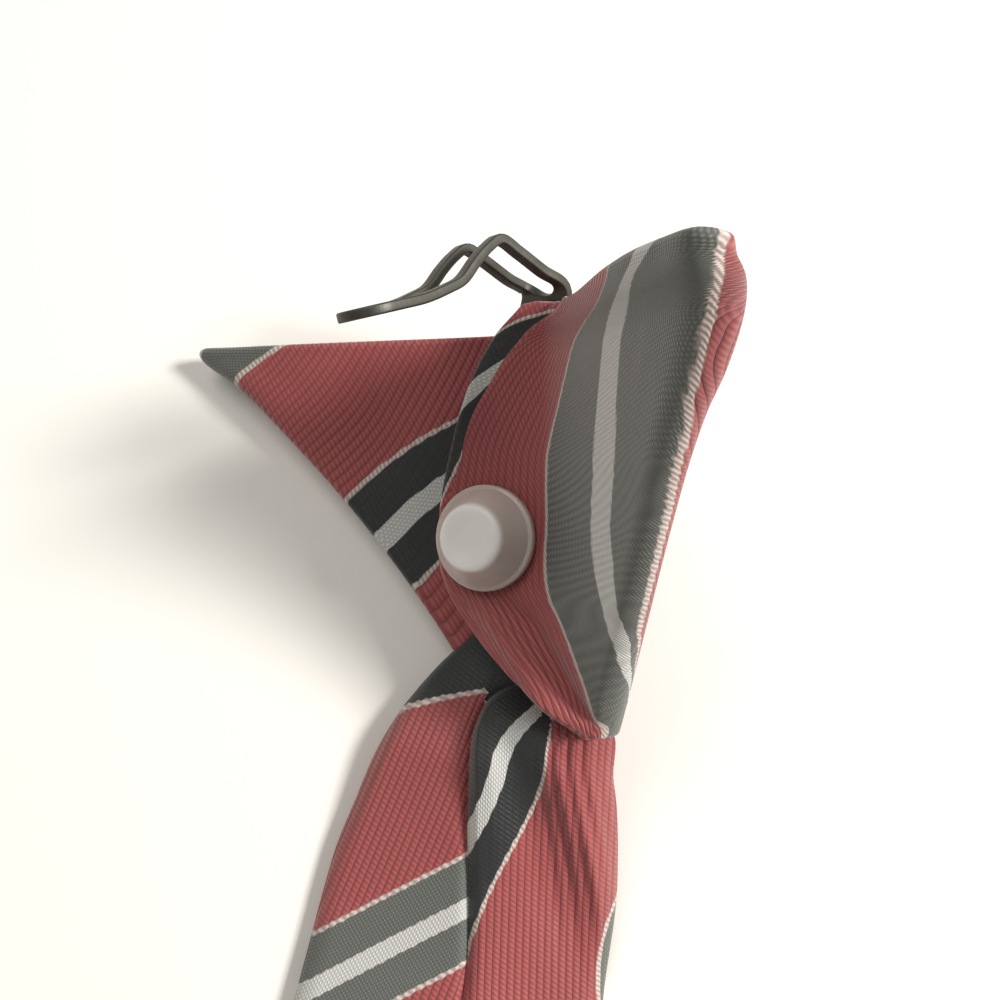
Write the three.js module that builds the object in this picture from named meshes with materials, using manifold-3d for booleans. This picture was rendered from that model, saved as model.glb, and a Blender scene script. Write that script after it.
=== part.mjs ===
// Clip-on necktie with a ready-made knot, lying face down on a flat surface with its back up.
// Millimetres, +Z up from the surface. The blade points along -Y and the knot is at the +Y end.
// The knot rocks over to one side, on the edge of its left wing, so its back faces up and to the left.
import * as THREE from "three";
import Module from "manifold-3d";

// Knot. It is modelled upright in a frame of its own: w across its back, u up, n out of its back.
// The frame's origin is the root, where the metal clip leaves the top of the knot.
const wingSpan = 80;
const wingDepth = 21.8;
const wingDrop = 4.2;
const knotHeight = 45.5;
const neckOpening = 16.6;
const knotFrontDepth = 6.2;
const clothWall = 1.3;
const pieceGap = 0.4;
const flapTuck = 5;
const knotRollDeg = 47.7;
const knotPitchDeg = 16.1;
const knotYawDeg = -3.7;
const knotRootX = -1.2;
const knotRootY = 18.8;
const knotRootZ = 19.2;

// Blade, and its neck inside the knot
const bladeLength = 414;
const bladeWidth = 78;
const bladeTopWidth = 33;
const bladeFlapThickness = 3;
const bladeEdgeRadius = 2.4;
const seamGrooveDepth = 1;
const neckThickness = 3.2;
const neckTopRise = 0.74;

// Metal clip, a strip of spring steel with a long slot, bent over the top of the knot
const clipWidth = 6.8;
const clipThickness = 1;
const clipRailWidth = 1.45;
const clipReach = 27.2;
const clipRise = 3.9;
const clipDip = 6;
const clipHoleMargin = 3.2;
const slotMargin = 0.6;
const tongueFlat = 6;

// Moulded plastic button, a short cone on a brim, with a post that pins the cloth to the clip
const buttonRadius = 5.6;
const buttonCrownRadius = 3.2;
const buttonHeight = 4.4;
const buttonBrim = 0.9;
const buttonPostRadius = 1.2;
const buttonPostLength = 3.9;
const postClearance = 0.35;
const buttonRise = 0.44;
const buttonW = -3.5;

const halfSpan = wingSpan / 2;
const foldRadius = (clothWall + pieceGap) / 2;

// How softly the surfaces of the knot's layers blend into each other
const valleySoftness = 1.4;
const frontSoftness = 1.2;
const flapSoftness = 0.6;
const neckSoftness = 0.3;

// Rows of numbers under named columns
const tableOf = (names, ...rows) =>
  rows.map((row) => Object.fromEntries(names.split(" ").map((name, k) => [name, row[k]])));

// Sections of the knot from its bottom edge (rise 0) to its top edge (rise 1).
// front is a share of knotFrontDepth; arch bends the front wall between the centre and the wing edge.
// valley and crease place the wrapped layer across the back, as shares of halfSpan and wingDepth; bulge
// rounds the right wing.
const knotRows = tableOf(
  "rise front arch valleyW valleyN creaseW creaseN bulge",
  [0.0, 0.85, -0.5, 0.178, 0.03, 0.172, 0.035, 0],
  [0.08, 0.95, -0.4, 0.155, 0.08, 0.075, 0.17, 0],
  [0.18, 1.0, -0.25, 0.12, 0.11, -0.11, 0.28, 0],
  [0.3, 1.05, -0.1, 0.085, 0.125, -0.21, 0.37, 0],
  [0.45, 1.05, 0.05, 0.06, 0.13, -0.225, 0.395, 0],
  [0.6, 1.0, 0.15, 0.05, 0.13, -0.205, 0.385, 0.1],
  [0.8, 0.95, 0.3, 0.04, 0.12, -0.165, 0.325, 0.4],
  [0.93, 0.9, 0.4, 0.035, 0.11, -0.11, 0.24, 0.9],
  [1.0, 0.85, 0.45, 0.03, 0.105, -0.04, 0.17, 1.15],
);
const leftCornerRise = 0.15;
const leftTopBlend = 0.25;
const rightTopBlend = 0.85;
const bottomEdgeBlend = 1.2;
const centreSoftness = 0.15;
const topSag = 0.6;
const flapStart = 0.36;
const slant = 1.22;
const flapDrop = slant * (clothWall + clipThickness + 2 * pieceGap);
const flapFall = 0.3;
const wingHollow = 1.15;

// Sections of the neck, up inside the knot: left and right edges as shares of halfSpan.
const neckRows = tableOf(
  "rise left right thickness",
  [0.0, -0.235, 0.16, 0.8],
  [0.12, -0.205, 0.175, 0.9],
  [0.3, -0.2, 0.18, 1],
  [1.0, -0.17, 0.17, 1],
);

// Sections of the blade below the knot. run is the distance from the knot's lower edge, half is half of
// the width and shift its offset, both as shares of bladeTopWidth; skew slants the section.
// left and right are the two flaps' heights as shares of bladeFlapThickness; seam is the edge between them.
const bladeRows = tableOf(
  "run half shift skew roll lift left right seam",
  [-0.8, 0.355, 0.1, 3, 30, 1.8, 1, 1.7, -3.6],
  [1.2, 0.372, 0.052, 1.8, 21, 1.5, 1, 1.9, -3.2],
  [7, 0.426, 0.026, 0.8, 12, 0.6, 1, 1.8, -2.0],
  [12.6, 0.459, 0.017, 0, 7, 0.2, 1, 1.6, -1.3],
  [18, 0.485, 0.011, 0, 3, 0, 1, 1.4, -0.3],
  [28, 0.5, 0.002, 0, 0, 0, 0.95, 1.2, 1.2],
  [60, 0.56, 0, 0, 0, 0, 0.9, 1.05, 1.2],
);

// Bends of the clip, from its tip back to the root and on down under the wrapped layer.
// u is a share of clipRise above the root and clipDip below it, n a share of clipReach.
const clipBends = [
  { u: -1.0, n: 1.0 },
  { u: -0.8, n: 0.877 },
  { u: -0.58, n: 0.74 },
  { u: -0.35, n: 0.642 },
  { u: -0.17, n: 0.579 },
  { u: 0.31, n: 0.516 },
  { u: 0.72, n: 0.463 },
  { u: 1.0, n: 0.407 },
  { u: 0.79, n: 0.312 },
  { u: 0.46, n: 0.19 },
  { u: 0.2, n: 0.08 },
];

const mix = (a, b, t) => a + (b - a) * t;
const clamp01 = (t) => Math.min(1, Math.max(0, t));
const spread = (a, b, count) => Array.from({ length: count }, (_, i) => mix(a, b, i / (count - 1)));
const softMax = (a, b, blend) => (a + b + Math.sqrt((a - b) ** 2 + blend ** 2)) / 2;
const toRadians = THREE.MathUtils.degToRad;

// Every column of a table at one value of its key column, by a smooth curve through the rows.
function rowAt(rows, key, value) {
  let k = 0;
  while (k < rows.length - 2 && value > rows[k + 1][key]) k += 1;
  const [a, b] = [rows[k], rows[k + 1]];
  const before = rows[Math.max(0, k - 1)];
  const after = rows[Math.min(rows.length - 1, k + 2)];
  const span = b[key] - a[key];
  const t = clamp01((value - a[key]) / span);
  const out = {};
  for (const name of Object.keys(a)) {
    const slopeA = ((b[name] - before[name]) / (b[key] - before[key])) * span;
    const slopeB = ((after[name] - a[name]) / (after[key] - a[key])) * span;
    out[name] =
      (2 * t ** 3 - 3 * t ** 2 + 1) * a[name] +
      (t ** 3 - 2 * t ** 2 + t) * slopeA +
      (3 * t ** 2 - 2 * t ** 3) * b[name] +
      (t ** 3 - t ** 2) * slopeB;
  }
  return out;
}

// The side edge of a wing, from the bottom corner to the tip.
const sideEdge = (bow) =>
  new THREE.QuadraticBezierCurve3(
    new THREE.Vector3(neckOpening / 2, -knotHeight, -0.02 * wingDepth),
    new THREE.Vector3(bow.w * halfSpan, bow.u * knotHeight, bow.n * wingDepth),
    new THREE.Vector3(halfSpan, -wingDrop, wingDepth),
  );
const leftEdge = sideEdge({ w: 0.55, u: -0.48, n: 0.34 });
const rightEdge = sideEdge({ w: 0.52, u: -0.52, n: 0.31 });

// One level of the knot: the wing edges on both sides and its row of the table.
function knotLevel(rise) {
  const right = rightEdge.getPoint(rise);
  const left = leftEdge.getPoint(mix(leftCornerRise, 1, rise));
  left.x = -left.x;
  return { left, right, ...rowAt(knotRows, "rise", rise) };
}

// How far up a point lies at one level, w across.
function upAt(level, w, topBlend = w < 0 ? leftTopBlend : rightTopBlend) {
  const edge = w < 0 ? level.left : level.right;
  const share = clamp01(w / edge.x);
  const centre = mix(-knotHeight - 1, -topSag, level.rise);
  const blend = mix(bottomEdgeBlend, topBlend, level.rise ** 3);
  return mix(centre, edge.y, share ** blend);
}

// The front wall's middle surface.
function frontAt(level, w) {
  const edge = w < 0 ? level.left : level.right;
  const share = clamp01(w / edge.x);
  const soft = (x) => Math.hypot(x, centreSoftness) - centreSoftness;
  const s = soft(share) / soft(1);
  return mix(-knotFrontDepth * level.front, edge.z - foldRadius, s + level.arch * s * (1 - s));
}

// The neck's two faces: it follows the front wall at a small gap.
function neckFaces(level, w) {
  const row = rowAt(neckRows, "rise", level.rise);
  const [from, to] = [row.left * halfSpan, row.right * halfSpan];
  const inward = Math.min(w - from, to - w) / bladeEdgeRadius;
  const round = Math.sqrt(1 - (1 - clamp01(inward)) ** 2);
  const thickness = neckThickness * row.thickness;
  const floor = frontAt(level, w) + slant * (clothWall / 2 + pieceGap);
  return {
    from,
    to,
    low: floor + 0.35 * thickness * (1 - round),
    high: floor + thickness * (0.35 + 0.65 * round),
  };
}

// The lowest that the middle of a layer may lie over the neck, w across.
function overNeck(level, w) {
  const { from, to, high } = neckFaces(level, w);
  const outside = Math.max(from - w, w - to, 0);
  const above = 40 * Math.max(level.rise - neckTopRise - 0.03, 0);
  return high + slant * (pieceGap + clothWall / 2) - outside - above;
}

// The wrapped layer: the ramp down from its free left edge, the valley, and the right wing's inner side.
function wrapAt(level, w) {
  const valleyW = level.valleyW * halfSpan;
  const creaseW = level.creaseW * halfSpan;
  const valleyN = level.valleyN * wingDepth;
  const inner = level.right.x - foldRadius;
  const edgeN = level.right.z + foldRadius;
  const slope = (level.creaseN * wingDepth - valleyN) / (valleyW - creaseW);
  const ramp = valleyN + slope * (valleyW - w);
  const s = clamp01((w - valleyW) / (inner - valleyW));
  const wing = mix(valleyN, edgeN, s ** wingHollow + level.bulge * s ** 2 * (1 - s));
  const hug = frontAt(level, w) + 2 * foldRadius;
  const open = softMax(softMax(ramp, wing, valleySoftness), hug, frontSoftness);
  return softMax(open, overNeck(level, w), neckSoftness) - neckSoftness;
}

// The left wing's inner side. It runs in over the neck and under the wrapped layer and the clip.
function leftFlapAt(level, w) {
  const creaseW = Math.min(level.creaseW * halfSpan, -1);
  const tucked = wrapAt(level, Math.max(w, creaseW)) - flapDrop - flapFall * Math.max(creaseW - w, 0);
  const hug = frontAt(level, w) + 2 * foldRadius;
  return softMax(softMax(hug, tucked, flapSoftness), overNeck(level, w), neckSoftness);
}

// The middle line of the band at one level: left flap, left fold, front wall, right fold, wrapped layer.
// Under the wrapped layer the left flap starts higher up than the rest.
function bandLine(level) {
  const { rise, left, right } = level;
  const creaseW = level.creaseW * halfSpan;
  const valleyW = level.valleyW * halfSpan;
  const leftIn = left.x + foldRadius;
  const rightIn = right.x - foldRadius;
  const line = [];
  const put = (w, n, u = upAt(level, w)) => line.push(new THREE.Vector3(w, u, n));
  const flapLevel = (w) => knotLevel(mix(flapStart * (1 - clamp01(w / leftIn)), 1, rise));
  const hidden = Math.min(flapLevel(0).creaseW * halfSpan, -1);
  for (const w of [...spread(hidden + flapTuck, hidden, 4), ...spread(hidden, leftIn, 11).slice(1)]) {
    const near = flapLevel(w);
    put(w, leftFlapAt(near, w), upAt(near, w));
  }
  for (const a of spread(Math.PI / 2, (3 * Math.PI) / 2, 6).slice(1, -1))
    put(leftIn + foldRadius * Math.cos(a), left.z + foldRadius * Math.sin(a));
  for (const w of spread(leftIn, rightIn, 25)) put(w, frontAt(level, w));
  for (const a of spread(-Math.PI / 2, Math.PI / 2, 6).slice(1, -1))
    put(rightIn + foldRadius * Math.cos(a), right.z + foldRadius * Math.sin(a));
  for (const w of [...spread(rightIn, valleyW, 11), ...spread(valleyW, creaseW, 9).slice(1)])
    put(w, wrapAt(level, w), upAt(level, w, rightTopBlend));
  return line;
}

// A triangle mesh from its points and the three corners of each triangle.
function meshOf(points, index) {
  const geometry = new THREE.BufferGeometry();
  const positions = points.flatMap((p) => [p.x, p.y, p.z]);
  geometry.setAttribute("position", new THREE.Float32BufferAttribute(positions, 3));
  geometry.setIndex(index);
  geometry.computeVertexNormals();
  return geometry;
}

// A closed slab between two grids of points, rows by columns, with joined rims.
function slab(lower, upper) {
  const rows = lower.length;
  const columns = lower[0].length;
  const low = (j, i) => j * columns + i;
  const high = (j, i) => rows * columns + j * columns + i;
  const index = [];
  const quad = (a, b, c, d) => index.push(a, b, c, a, c, d);
  for (let j = 0; j < rows - 1; j += 1) {
    for (let i = 0; i < columns - 1; i += 1) {
      quad(low(j, i), low(j + 1, i), low(j + 1, i + 1), low(j, i + 1));
      quad(high(j, i), high(j, i + 1), high(j + 1, i + 1), high(j + 1, i));
    }
    const last = columns - 1;
    quad(low(j, 0), high(j, 0), high(j + 1, 0), low(j + 1, 0));
    quad(low(j, last), low(j + 1, last), high(j + 1, last), high(j, last));
  }
  const end = rows - 1;
  for (let i = 0; i < columns - 1; i += 1) {
    quad(low(0, i), low(0, i + 1), high(0, i + 1), high(0, i));
    quad(low(end, i), high(end, i), high(end, i + 1), low(end, i + 1));
  }
  return meshOf([...lower.flat(), ...upper.flat()], index);
}

// A sheet of cloth round a grid of middle points. Its rims are drawn in so that they look rolled.
function sheet(middle, thickness) {
  const rows = middle.length;
  const columns = middle[0].length;
  const step = (a, b) => new THREE.Vector3().subVectors(b, a);
  const grids = [-1, 1].map((side) =>
    middle.map((row, j) =>
      row.map((point, i) => {
        const along = step(row[Math.max(0, i - 1)], row[Math.min(columns - 1, i + 1)]);
        const up = step(middle[Math.max(0, j - 1)][i], middle[Math.min(rows - 1, j + 1)][i]);
        const normal = along.cross(up).normalize();
        const share = Math.min(i, columns - 1 - i, j, rows - 1 - j) === 0 ? 0.35 : 1;
        return point.clone().addScaledVector(normal, (side * share * thickness) / 2);
      }),
    ),
  );
  return slab(grids[0], grids[1]);
}

// A tube through closed loops of points, with its ends capped.
function tube(loops) {
  const count = loops[0].length;
  const index = [];
  for (let j = 0; j < loops.length - 1; j += 1)
    for (let i = 0; i < count; i += 1) {
      const next = (i + 1) % count;
      const [a, b] = [j * count + i, j * count + next];
      index.push(a, b, b + count, a, b + count, a + count);
    }
  const capOf = (loop, start, flip) => {
    const half = count / 2;
    for (let i = 0; i < half - 1; i += 1) {
      const [a, b, c, d] = [i, i + 1, count - 2 - i, count - 1 - i].map((k) => start + k);
      index.push(...(flip ? [a, c, b, a, d, c] : [a, b, c, a, c, d]));
    }
  };
  capOf(loops[0], 0, true);
  capOf(loops[loops.length - 1], (loops.length - 1) * count, false);
  return meshOf(loops.flat(), index);
}

const knotPlace = new THREE.Matrix4().compose(
  new THREE.Vector3(knotRootX, knotRootY, knotRootZ),
  new THREE.Quaternion().setFromEuler(
    new THREE.Euler(toRadians(knotPitchDeg), toRadians(-knotRollDeg), toRadians(knotYawDeg), "ZYX"),
  ),
  new THREE.Vector3(1, 1, 1),
);

// Shares across the blade, closer together at both edges and at the seam between the flaps.
const edgeShares = [0, 0.035, 0.1, 0.22, 0.42, 0.66, 0.86, 0.95, 1];
const acrossAt = (seam) => [
  ...edgeShares.map((s) => mix(-1, seam, s)),
  ...edgeShares.slice(0, -1).reverse().map((s) => mix(1, seam, s)),
];

// One loop of the neck: under side left to right, then upper side right to left.
function neckLoop(rise) {
  const level = knotLevel(rise);
  const { from, to } = neckFaces(level, 0);
  const across = acrossAt(-0.35).map((a) => mix(from, to, (a + 1) / 2));
  const at = (w, n) => new THREE.Vector3(w, upAt(level, w), n).applyMatrix4(knotPlace);
  const low = across.map((w) => at(w, neckFaces(level, w).low));
  const high = across.map((w) => at(w, neckFaces(level, w).high));
  return [...low, ...high.reverse()];
}

// One loop of the blade below the knot.
const knotFoot = new THREE.Vector3(0, -knotHeight, 0).applyMatrix4(knotPlace).y;
const pointStart = bladeLength - bladeWidth / 2;
const endOfRows = bladeRows[bladeRows.length - 1];
function bladeLoop(run) {
  const row = rowAt(bladeRows, "run", Math.min(run, endOfRows.run));
  const topHalf = row.half * bladeTopWidth;
  const downBlade = (run - endOfRows.run) / (pointStart - endOfRows.run);
  const widest = mix(endOfRows.half * bladeTopWidth, bladeWidth / 2, downBlade);
  const toPoint = bladeLength - run + 0.4;
  const half = Math.min(run > endOfRows.run ? widest : topHalf, toPoint);
  const centre = row.shift * bladeTopWidth;
  const roll = toRadians(row.roll);
  const seam = run > pointStart ? (row.seam * toPoint) / (bladeWidth / 2) : row.seam;
  const thin = Math.min(1, 0.35 + toPoint / 12);
  const leftHeight = row.left * bladeFlapThickness * thin;
  const rightHeight = row.right * bladeFlapThickness * thin;
  const edgeRadius = Math.min(bladeEdgeRadius, half / 2);
  const faces = acrossAt(seam / half).map((a, i, all) => {
    const p = a * half;
    const onRight = i > (all.length - 1) / 2;
    const fromEdge = clamp01((half - Math.abs(p)) / edgeRadius);
    const round = Math.sqrt(1 - (1 - fromEdge) ** 2);
    const fromSeam = clamp01(Math.abs(p - seam) / (1.4 * seamGrooveDepth));
    const groove = seamGrooveDepth * thin * (1 - Math.sqrt(1 - (1 - fromSeam) ** 2));
    const puff = onRight ? Math.sin((Math.PI * (p - seam)) / (half - seam)) : 0;
    const rightShare = clamp01(fromSeam * 0.6 + puff * 0.7);
    const height = onRight ? mix(leftHeight, rightHeight, rightShare) : leftHeight;
    const edge = 0.4 * leftHeight;
    return { p, low: edge * (1 - round), high: mix(edge, height - groove, round) };
  });
  const turned = (p, h) => ({
    x: centre + p * Math.cos(roll) - h * Math.sin(roll),
    z: p * Math.sin(roll) + h * Math.cos(roll),
  });
  const floor = Math.min(...faces.map(({ p, low }) => turned(p, low).z));
  const at = (p, h) => {
    const { x, z } = turned(p, h);
    return new THREE.Vector3(x, knotFoot - run - (row.skew * p) / half, z - floor + Math.max(row.lift, 0));
  };
  const low = faces.map(({ p, low: h }) => at(p, h));
  const high = faces.map(({ p, high: h }) => at(p, h));
  return [...low, ...high.reverse()];
}

const neckRises = [neckTopRise, 0.72, 0.6, 0.48, 0.36, 0.24, 0.16, 0.08, 0];
const bladeRuns = [-0.8, 0, 1.2, 3, 5, 8, 11, 14, 18, 23, 28, 36, 46, 60, 90, 130, 180, 230, 280, 330, 360];
const pointRuns = [0, 2, 6, 12, 20, 28, 34, 37.5, 39].map((d) => pointStart + d);
const bladeGeometry = tube([...neckRises.map(neckLoop), ...[...bladeRuns, ...pointRuns].map(bladeLoop)]);

const wasm = await Module();
wasm.setup();
const { Manifold, CrossSection } = wasm;

function toSolid(geometry) {
  const mesh = new wasm.Mesh({
    numProp: 3,
    vertProperties: new Float32Array(geometry.getAttribute("position").array),
    triVerts: new Uint32Array(geometry.index.array),
  });
  mesh.merge();
  return new Manifold(mesh);
}

function toGeometry(solid) {
  const mesh = solid.getMesh();
  const points = [];
  for (let k = 0; k < mesh.vertProperties.length; k += mesh.numProp)
    points.push(new THREE.Vector3(...mesh.vertProperties.slice(k, k + 3)));
  return meshOf(points, Array.from(mesh.triVerts));
}

// A spot on the wrapped layer, and the direction it faces. Up the knot it moves from the button to the root.
function wrapSpot(rise) {
  const level = knotLevel(rise);
  const w = buttonW * Math.min(1, (1 - rise) / (1 - buttonRise));
  const at = (near, x) => new THREE.Vector3(x, upAt(near, x, rightTopBlend), wrapAt(near, x));
  const reach = 0.45 * buttonRadius;
  const across = at(level, w + reach).sub(at(level, w - reach)).normalize();
  const upward = at(knotLevel(rise + 0.01), w).sub(at(knotLevel(rise - 0.01), w)).normalize();
  return { point: at(level, w), across, out: across.clone().cross(upward).normalize() };
}

const button = wrapSpot(buttonRise);
const buttonSeat = button.point.clone().addScaledVector(button.out, clothWall / 2 + 1.3 * pieceGap);
const buttonTurn = new THREE.Quaternion().setFromUnitVectors(new THREE.Vector3(0, 0, 1), button.out);
const buttonPlace = new THREE.Matrix4().compose(buttonSeat, buttonTurn, new THREE.Vector3(1, 1, 1));

const buttonProfile = [
  [0, -buttonPostLength],
  [buttonPostRadius, -buttonPostLength],
  [buttonPostRadius, 0],
  [buttonRadius - 0.2, 0],
  [buttonRadius, 0.25],
  [buttonRadius, buttonBrim - 0.2],
  [buttonRadius - 0.3, buttonBrim],
  [mix(buttonRadius, buttonCrownRadius, 0.5), 0.62 * buttonHeight],
  [buttonCrownRadius, buttonHeight - 0.25],
  [buttonCrownRadius - 0.3, buttonHeight],
  [0, buttonHeight],
].map(([r, z]) => new THREE.Vector2(r, z));
const cylinderAlong = (radius, from, to) =>
  Manifold.cylinder(to - from, radius, radius, 28).translate([0, 0, from]).transform(buttonPlace.toArray());
const postHole = cylinderAlong(buttonPostRadius + postClearance, -buttonPostLength - 0.6, pieceGap);

const rises = [0, 0.02, ...spread(0.05, 0.95, 17), 0.98, 1];
const bandGrid = rises.map((rise) => bandLine(knotLevel(rise)));
const bandSolid = toSolid(sheet(bandGrid, clothWall)).subtract(postHole);

// The clip as a flat strip with its slot and hole, then bent along its path.
const clipPath = clipBends.map(
  ({ u, n }) => new THREE.Vector3(0, u * (u > 0 ? clipRise : clipDip), n * clipReach),
);
const plateDrop = clothWall / 2 + pieceGap + clipThickness / 2;
const buriedRises = [0.985, 0.92, 0.82, 0.7, 0.57, buttonRise, buttonRise - 0.08];
for (const rise of buriedRises) {
  const { point, out } = wrapSpot(rise);
  const extra = (0.6 * pieceGap * (rise - buttonRise)) / (1 - buttonRise);
  clipPath.push(point.addScaledVector(out, -plateDrop - Math.max(extra, 0)));
}
const path = new THREE.CatmullRomCurve3(clipPath, false, "centripetal");
path.arcLengthDivisions = 600;
const pathLength = path.getLength();
const lengthTo = (point) => {
  const gaps = spread(0, 1, 401).map((t) => path.getPointAt(t).distanceTo(point));
  return (gaps.indexOf(Math.min(...gaps)) / 400) * pathLength;
};
const rootAt = lengthTo(new THREE.Vector3(0, 0, 0.5));
const holeAt = lengthTo(button.point.clone().addScaledVector(button.out, -plateDrop));
const roundedStrip = (width, from, to) =>
  CrossSection.hull([
    CrossSection.circle(width / 2, 20).translate([0, from + width / 2]),
    CrossSection.circle(width / 2, 20).translate([0, to - width / 2]),
  ]);
const slotWidth = clipWidth - 2 * clipRailWidth;
const flat = roundedStrip(clipWidth, 0, holeAt + clipHoleMargin)
  .subtract(roundedStrip(slotWidth, 0.24 * rootAt, rootAt - slotMargin))
  .subtract(CrossSection.circle(buttonPostRadius + postClearance, 20).translate([0, holeAt]));
const acrossAtLength = (y) => {
  const share = clamp01((y - rootAt) / (holeAt - rootAt));
  const { across } = wrapSpot(Math.min(mix(1, buttonRise, share), 0.98));
  return across.lerp(new THREE.Vector3(1, 0, 0), clamp01(1 - 9 * share)).normalize();
};
const clipSolid = Manifold.extrude(flat, clipThickness)
  .translate([0, 0, -clipThickness / 2])
  .refineToLength(2)
  .warp((v) => {
    const share = clamp01(Math.max(v[1], tongueFlat) / pathLength);
    const point = path.getPointAt(share);
    const along = path.getTangentAt(share);
    const across = acrossAtLength(v[1]);
    across.addScaledVector(along, -across.dot(along)).normalize();
    const out = across.clone().cross(along);
    point.addScaledVector(along, v[1] - share * pathLength);
    point.addScaledVector(across, v[0]).addScaledVector(out, v[2]);
    [v[0], v[1], v[2]] = point.toArray();
  });

const cloth = (color) => new THREE.MeshStandardMaterial({ color, roughness: 0.6 });
const makeMesh = (name, geometry, material) => {
  const mesh = new THREE.Mesh(geometry, material);
  mesh.name = name;
  return mesh;
};

const buttonGeometry = new THREE.LatheGeometry(buttonProfile, 40);
const knotBand = makeMesh("knot_band", toGeometry(bandSolid), cloth(0x8e3a3e));
const clip = makeMesh(
  "clip",
  toGeometry(clipSolid),
  new THREE.MeshStandardMaterial({ color: 0x6a665f, metalness: 1, roughness: 0.35 }),
);
const buttonMesh = makeMesh(
  "button",
  toGeometry(toSolid(buttonGeometry.rotateX(Math.PI / 2)).transform(buttonPlace.toArray())),
  new THREE.MeshStandardMaterial({ color: 0xd8d5ce, roughness: 0.35 }),
);
const blade = makeMesh("blade", bladeGeometry, cloth(0x8e3a3f));

const knot = new THREE.Group();
knot.add(knotBand, clip, buttonMesh);
knot.applyMatrix4(knotPlace);

const tie = new THREE.Group();
tie.name = "clip_on_tie";
tie.add(knot, blade);

// The origin is the middle of the bottom of the box round the whole tie.
const box = new THREE.Box3().setFromObject(tie, true);
const middle = box.getCenter(new THREE.Vector3());
tie.position.set(-middle.x, -middle.y, -box.min.z);

export default tie;
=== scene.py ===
import math

import bmesh
import bpy
import numpy as np
from mathutils import Matrix, Vector


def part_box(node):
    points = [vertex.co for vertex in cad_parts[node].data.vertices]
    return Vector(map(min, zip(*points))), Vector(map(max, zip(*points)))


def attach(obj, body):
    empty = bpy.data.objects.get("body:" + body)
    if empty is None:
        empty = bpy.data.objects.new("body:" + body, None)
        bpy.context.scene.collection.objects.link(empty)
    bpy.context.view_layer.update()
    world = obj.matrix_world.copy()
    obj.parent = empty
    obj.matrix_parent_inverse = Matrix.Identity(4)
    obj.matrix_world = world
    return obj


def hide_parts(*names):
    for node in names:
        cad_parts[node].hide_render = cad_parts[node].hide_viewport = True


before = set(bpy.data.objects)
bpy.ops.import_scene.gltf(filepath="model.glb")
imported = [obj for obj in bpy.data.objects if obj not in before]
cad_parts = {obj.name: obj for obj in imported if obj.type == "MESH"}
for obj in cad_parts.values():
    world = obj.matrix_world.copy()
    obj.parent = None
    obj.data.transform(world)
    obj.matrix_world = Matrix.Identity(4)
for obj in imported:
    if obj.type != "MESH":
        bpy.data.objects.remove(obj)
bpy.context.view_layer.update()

# Looks of a clip-on necktie that lies face down with the back of its ready-made knot up.
# Lengths in the tables are millimetres; the scene is in metres.
MM = 0.001

# Knot, in a frame of its own: w across its back, u up, n out of its back
WING_SPAN = 80
WING_DEPTH = 21.8
WING_DROP = 4.2
KNOT_HEIGHT = 45.5
NECK_OPENING = 16.6
KNOT_FRONT_DEPTH = 6.2
CLOTH_WALL = 1.3
PIECE_GAP = 0.4
FLAP_TUCK = 5
KNOT_ROLL, KNOT_PITCH, KNOT_YAW = 47.7, 16.1, -3.7
KNOT_ROOT = (-1.2, 18.8, 19.2)

# Blade, and its neck inside the knot
BLADE_LENGTH = 414
BLADE_WIDTH = 78
BLADE_TOP_WIDTH = 33
FLAP_THICKNESS = 3
BLADE_EDGE_RADIUS = 2.4
SEAM_GROOVE_DEPTH = 1
NECK_THICKNESS = 3.2
NECK_TOP_RISE = 0.74

# Metal clip
CLIP_WIDTH = 6.8
CLIP_THICKNESS = 1
CLIP_RAIL_WIDTH = 1.45
CLIP_REACH = 27.2
CLIP_RISE = 3.9
CLIP_DIP = 6
CLIP_HOLE_MARGIN = 3.2
CLIP_EDGE = 0.2
TONGUE_FLAT = 6

# Plastic button
BUTTON_RADIUS = 5.6
CROWN_RADIUS = 3.2
BUTTON_HEIGHT = 4.4
BUTTON_BRIM = 0.9
POST_RADIUS = 1.2
POST_LENGTH = 3.9
POST_CLEARANCE = 0.35
BUTTON_RISE = 0.44
BUTTON_W = -3.5

# Forms of the cloth surfaces
HALF_SPAN = WING_SPAN / 2
FOLD_RADIUS = (CLOTH_WALL + PIECE_GAP) / 2
SLANT = 1.22
FLAP_DROP = SLANT * (CLOTH_WALL + CLIP_THICKNESS + 2 * PIECE_GAP)
FLAP_FALL = 0.3
FLAP_START = 0.36
LEFT_CORNER_RISE = 0.15
LEFT_TOP_BLEND = 0.25
RIGHT_TOP_BLEND = 0.85
BOTTOM_EDGE_BLEND = 1.2
BOTTOM_CORNER_DEPTH = -0.02
RIGHT_BOW = (0.52, -0.52, 0.31)
LEFT_BOW = (0.55, -0.48, 0.34)
CENTRE_SOFTNESS = 0.15
TOP_SAG = 0.6
WING_HOLLOW = 1.15
VALLEY_SOFTNESS = 1.4
HUG_SOFTNESS = 1.2
FLAP_SOFTNESS = 0.6
NECK_SOFTNESS = 0.3
NECK_EDGE_SHARE = 0.35
STEEP = 40


def table(names, *rows):
    """A table with named columns, one array for each."""
    return dict(zip(names.split(), np.array(rows, float).T))


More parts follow.
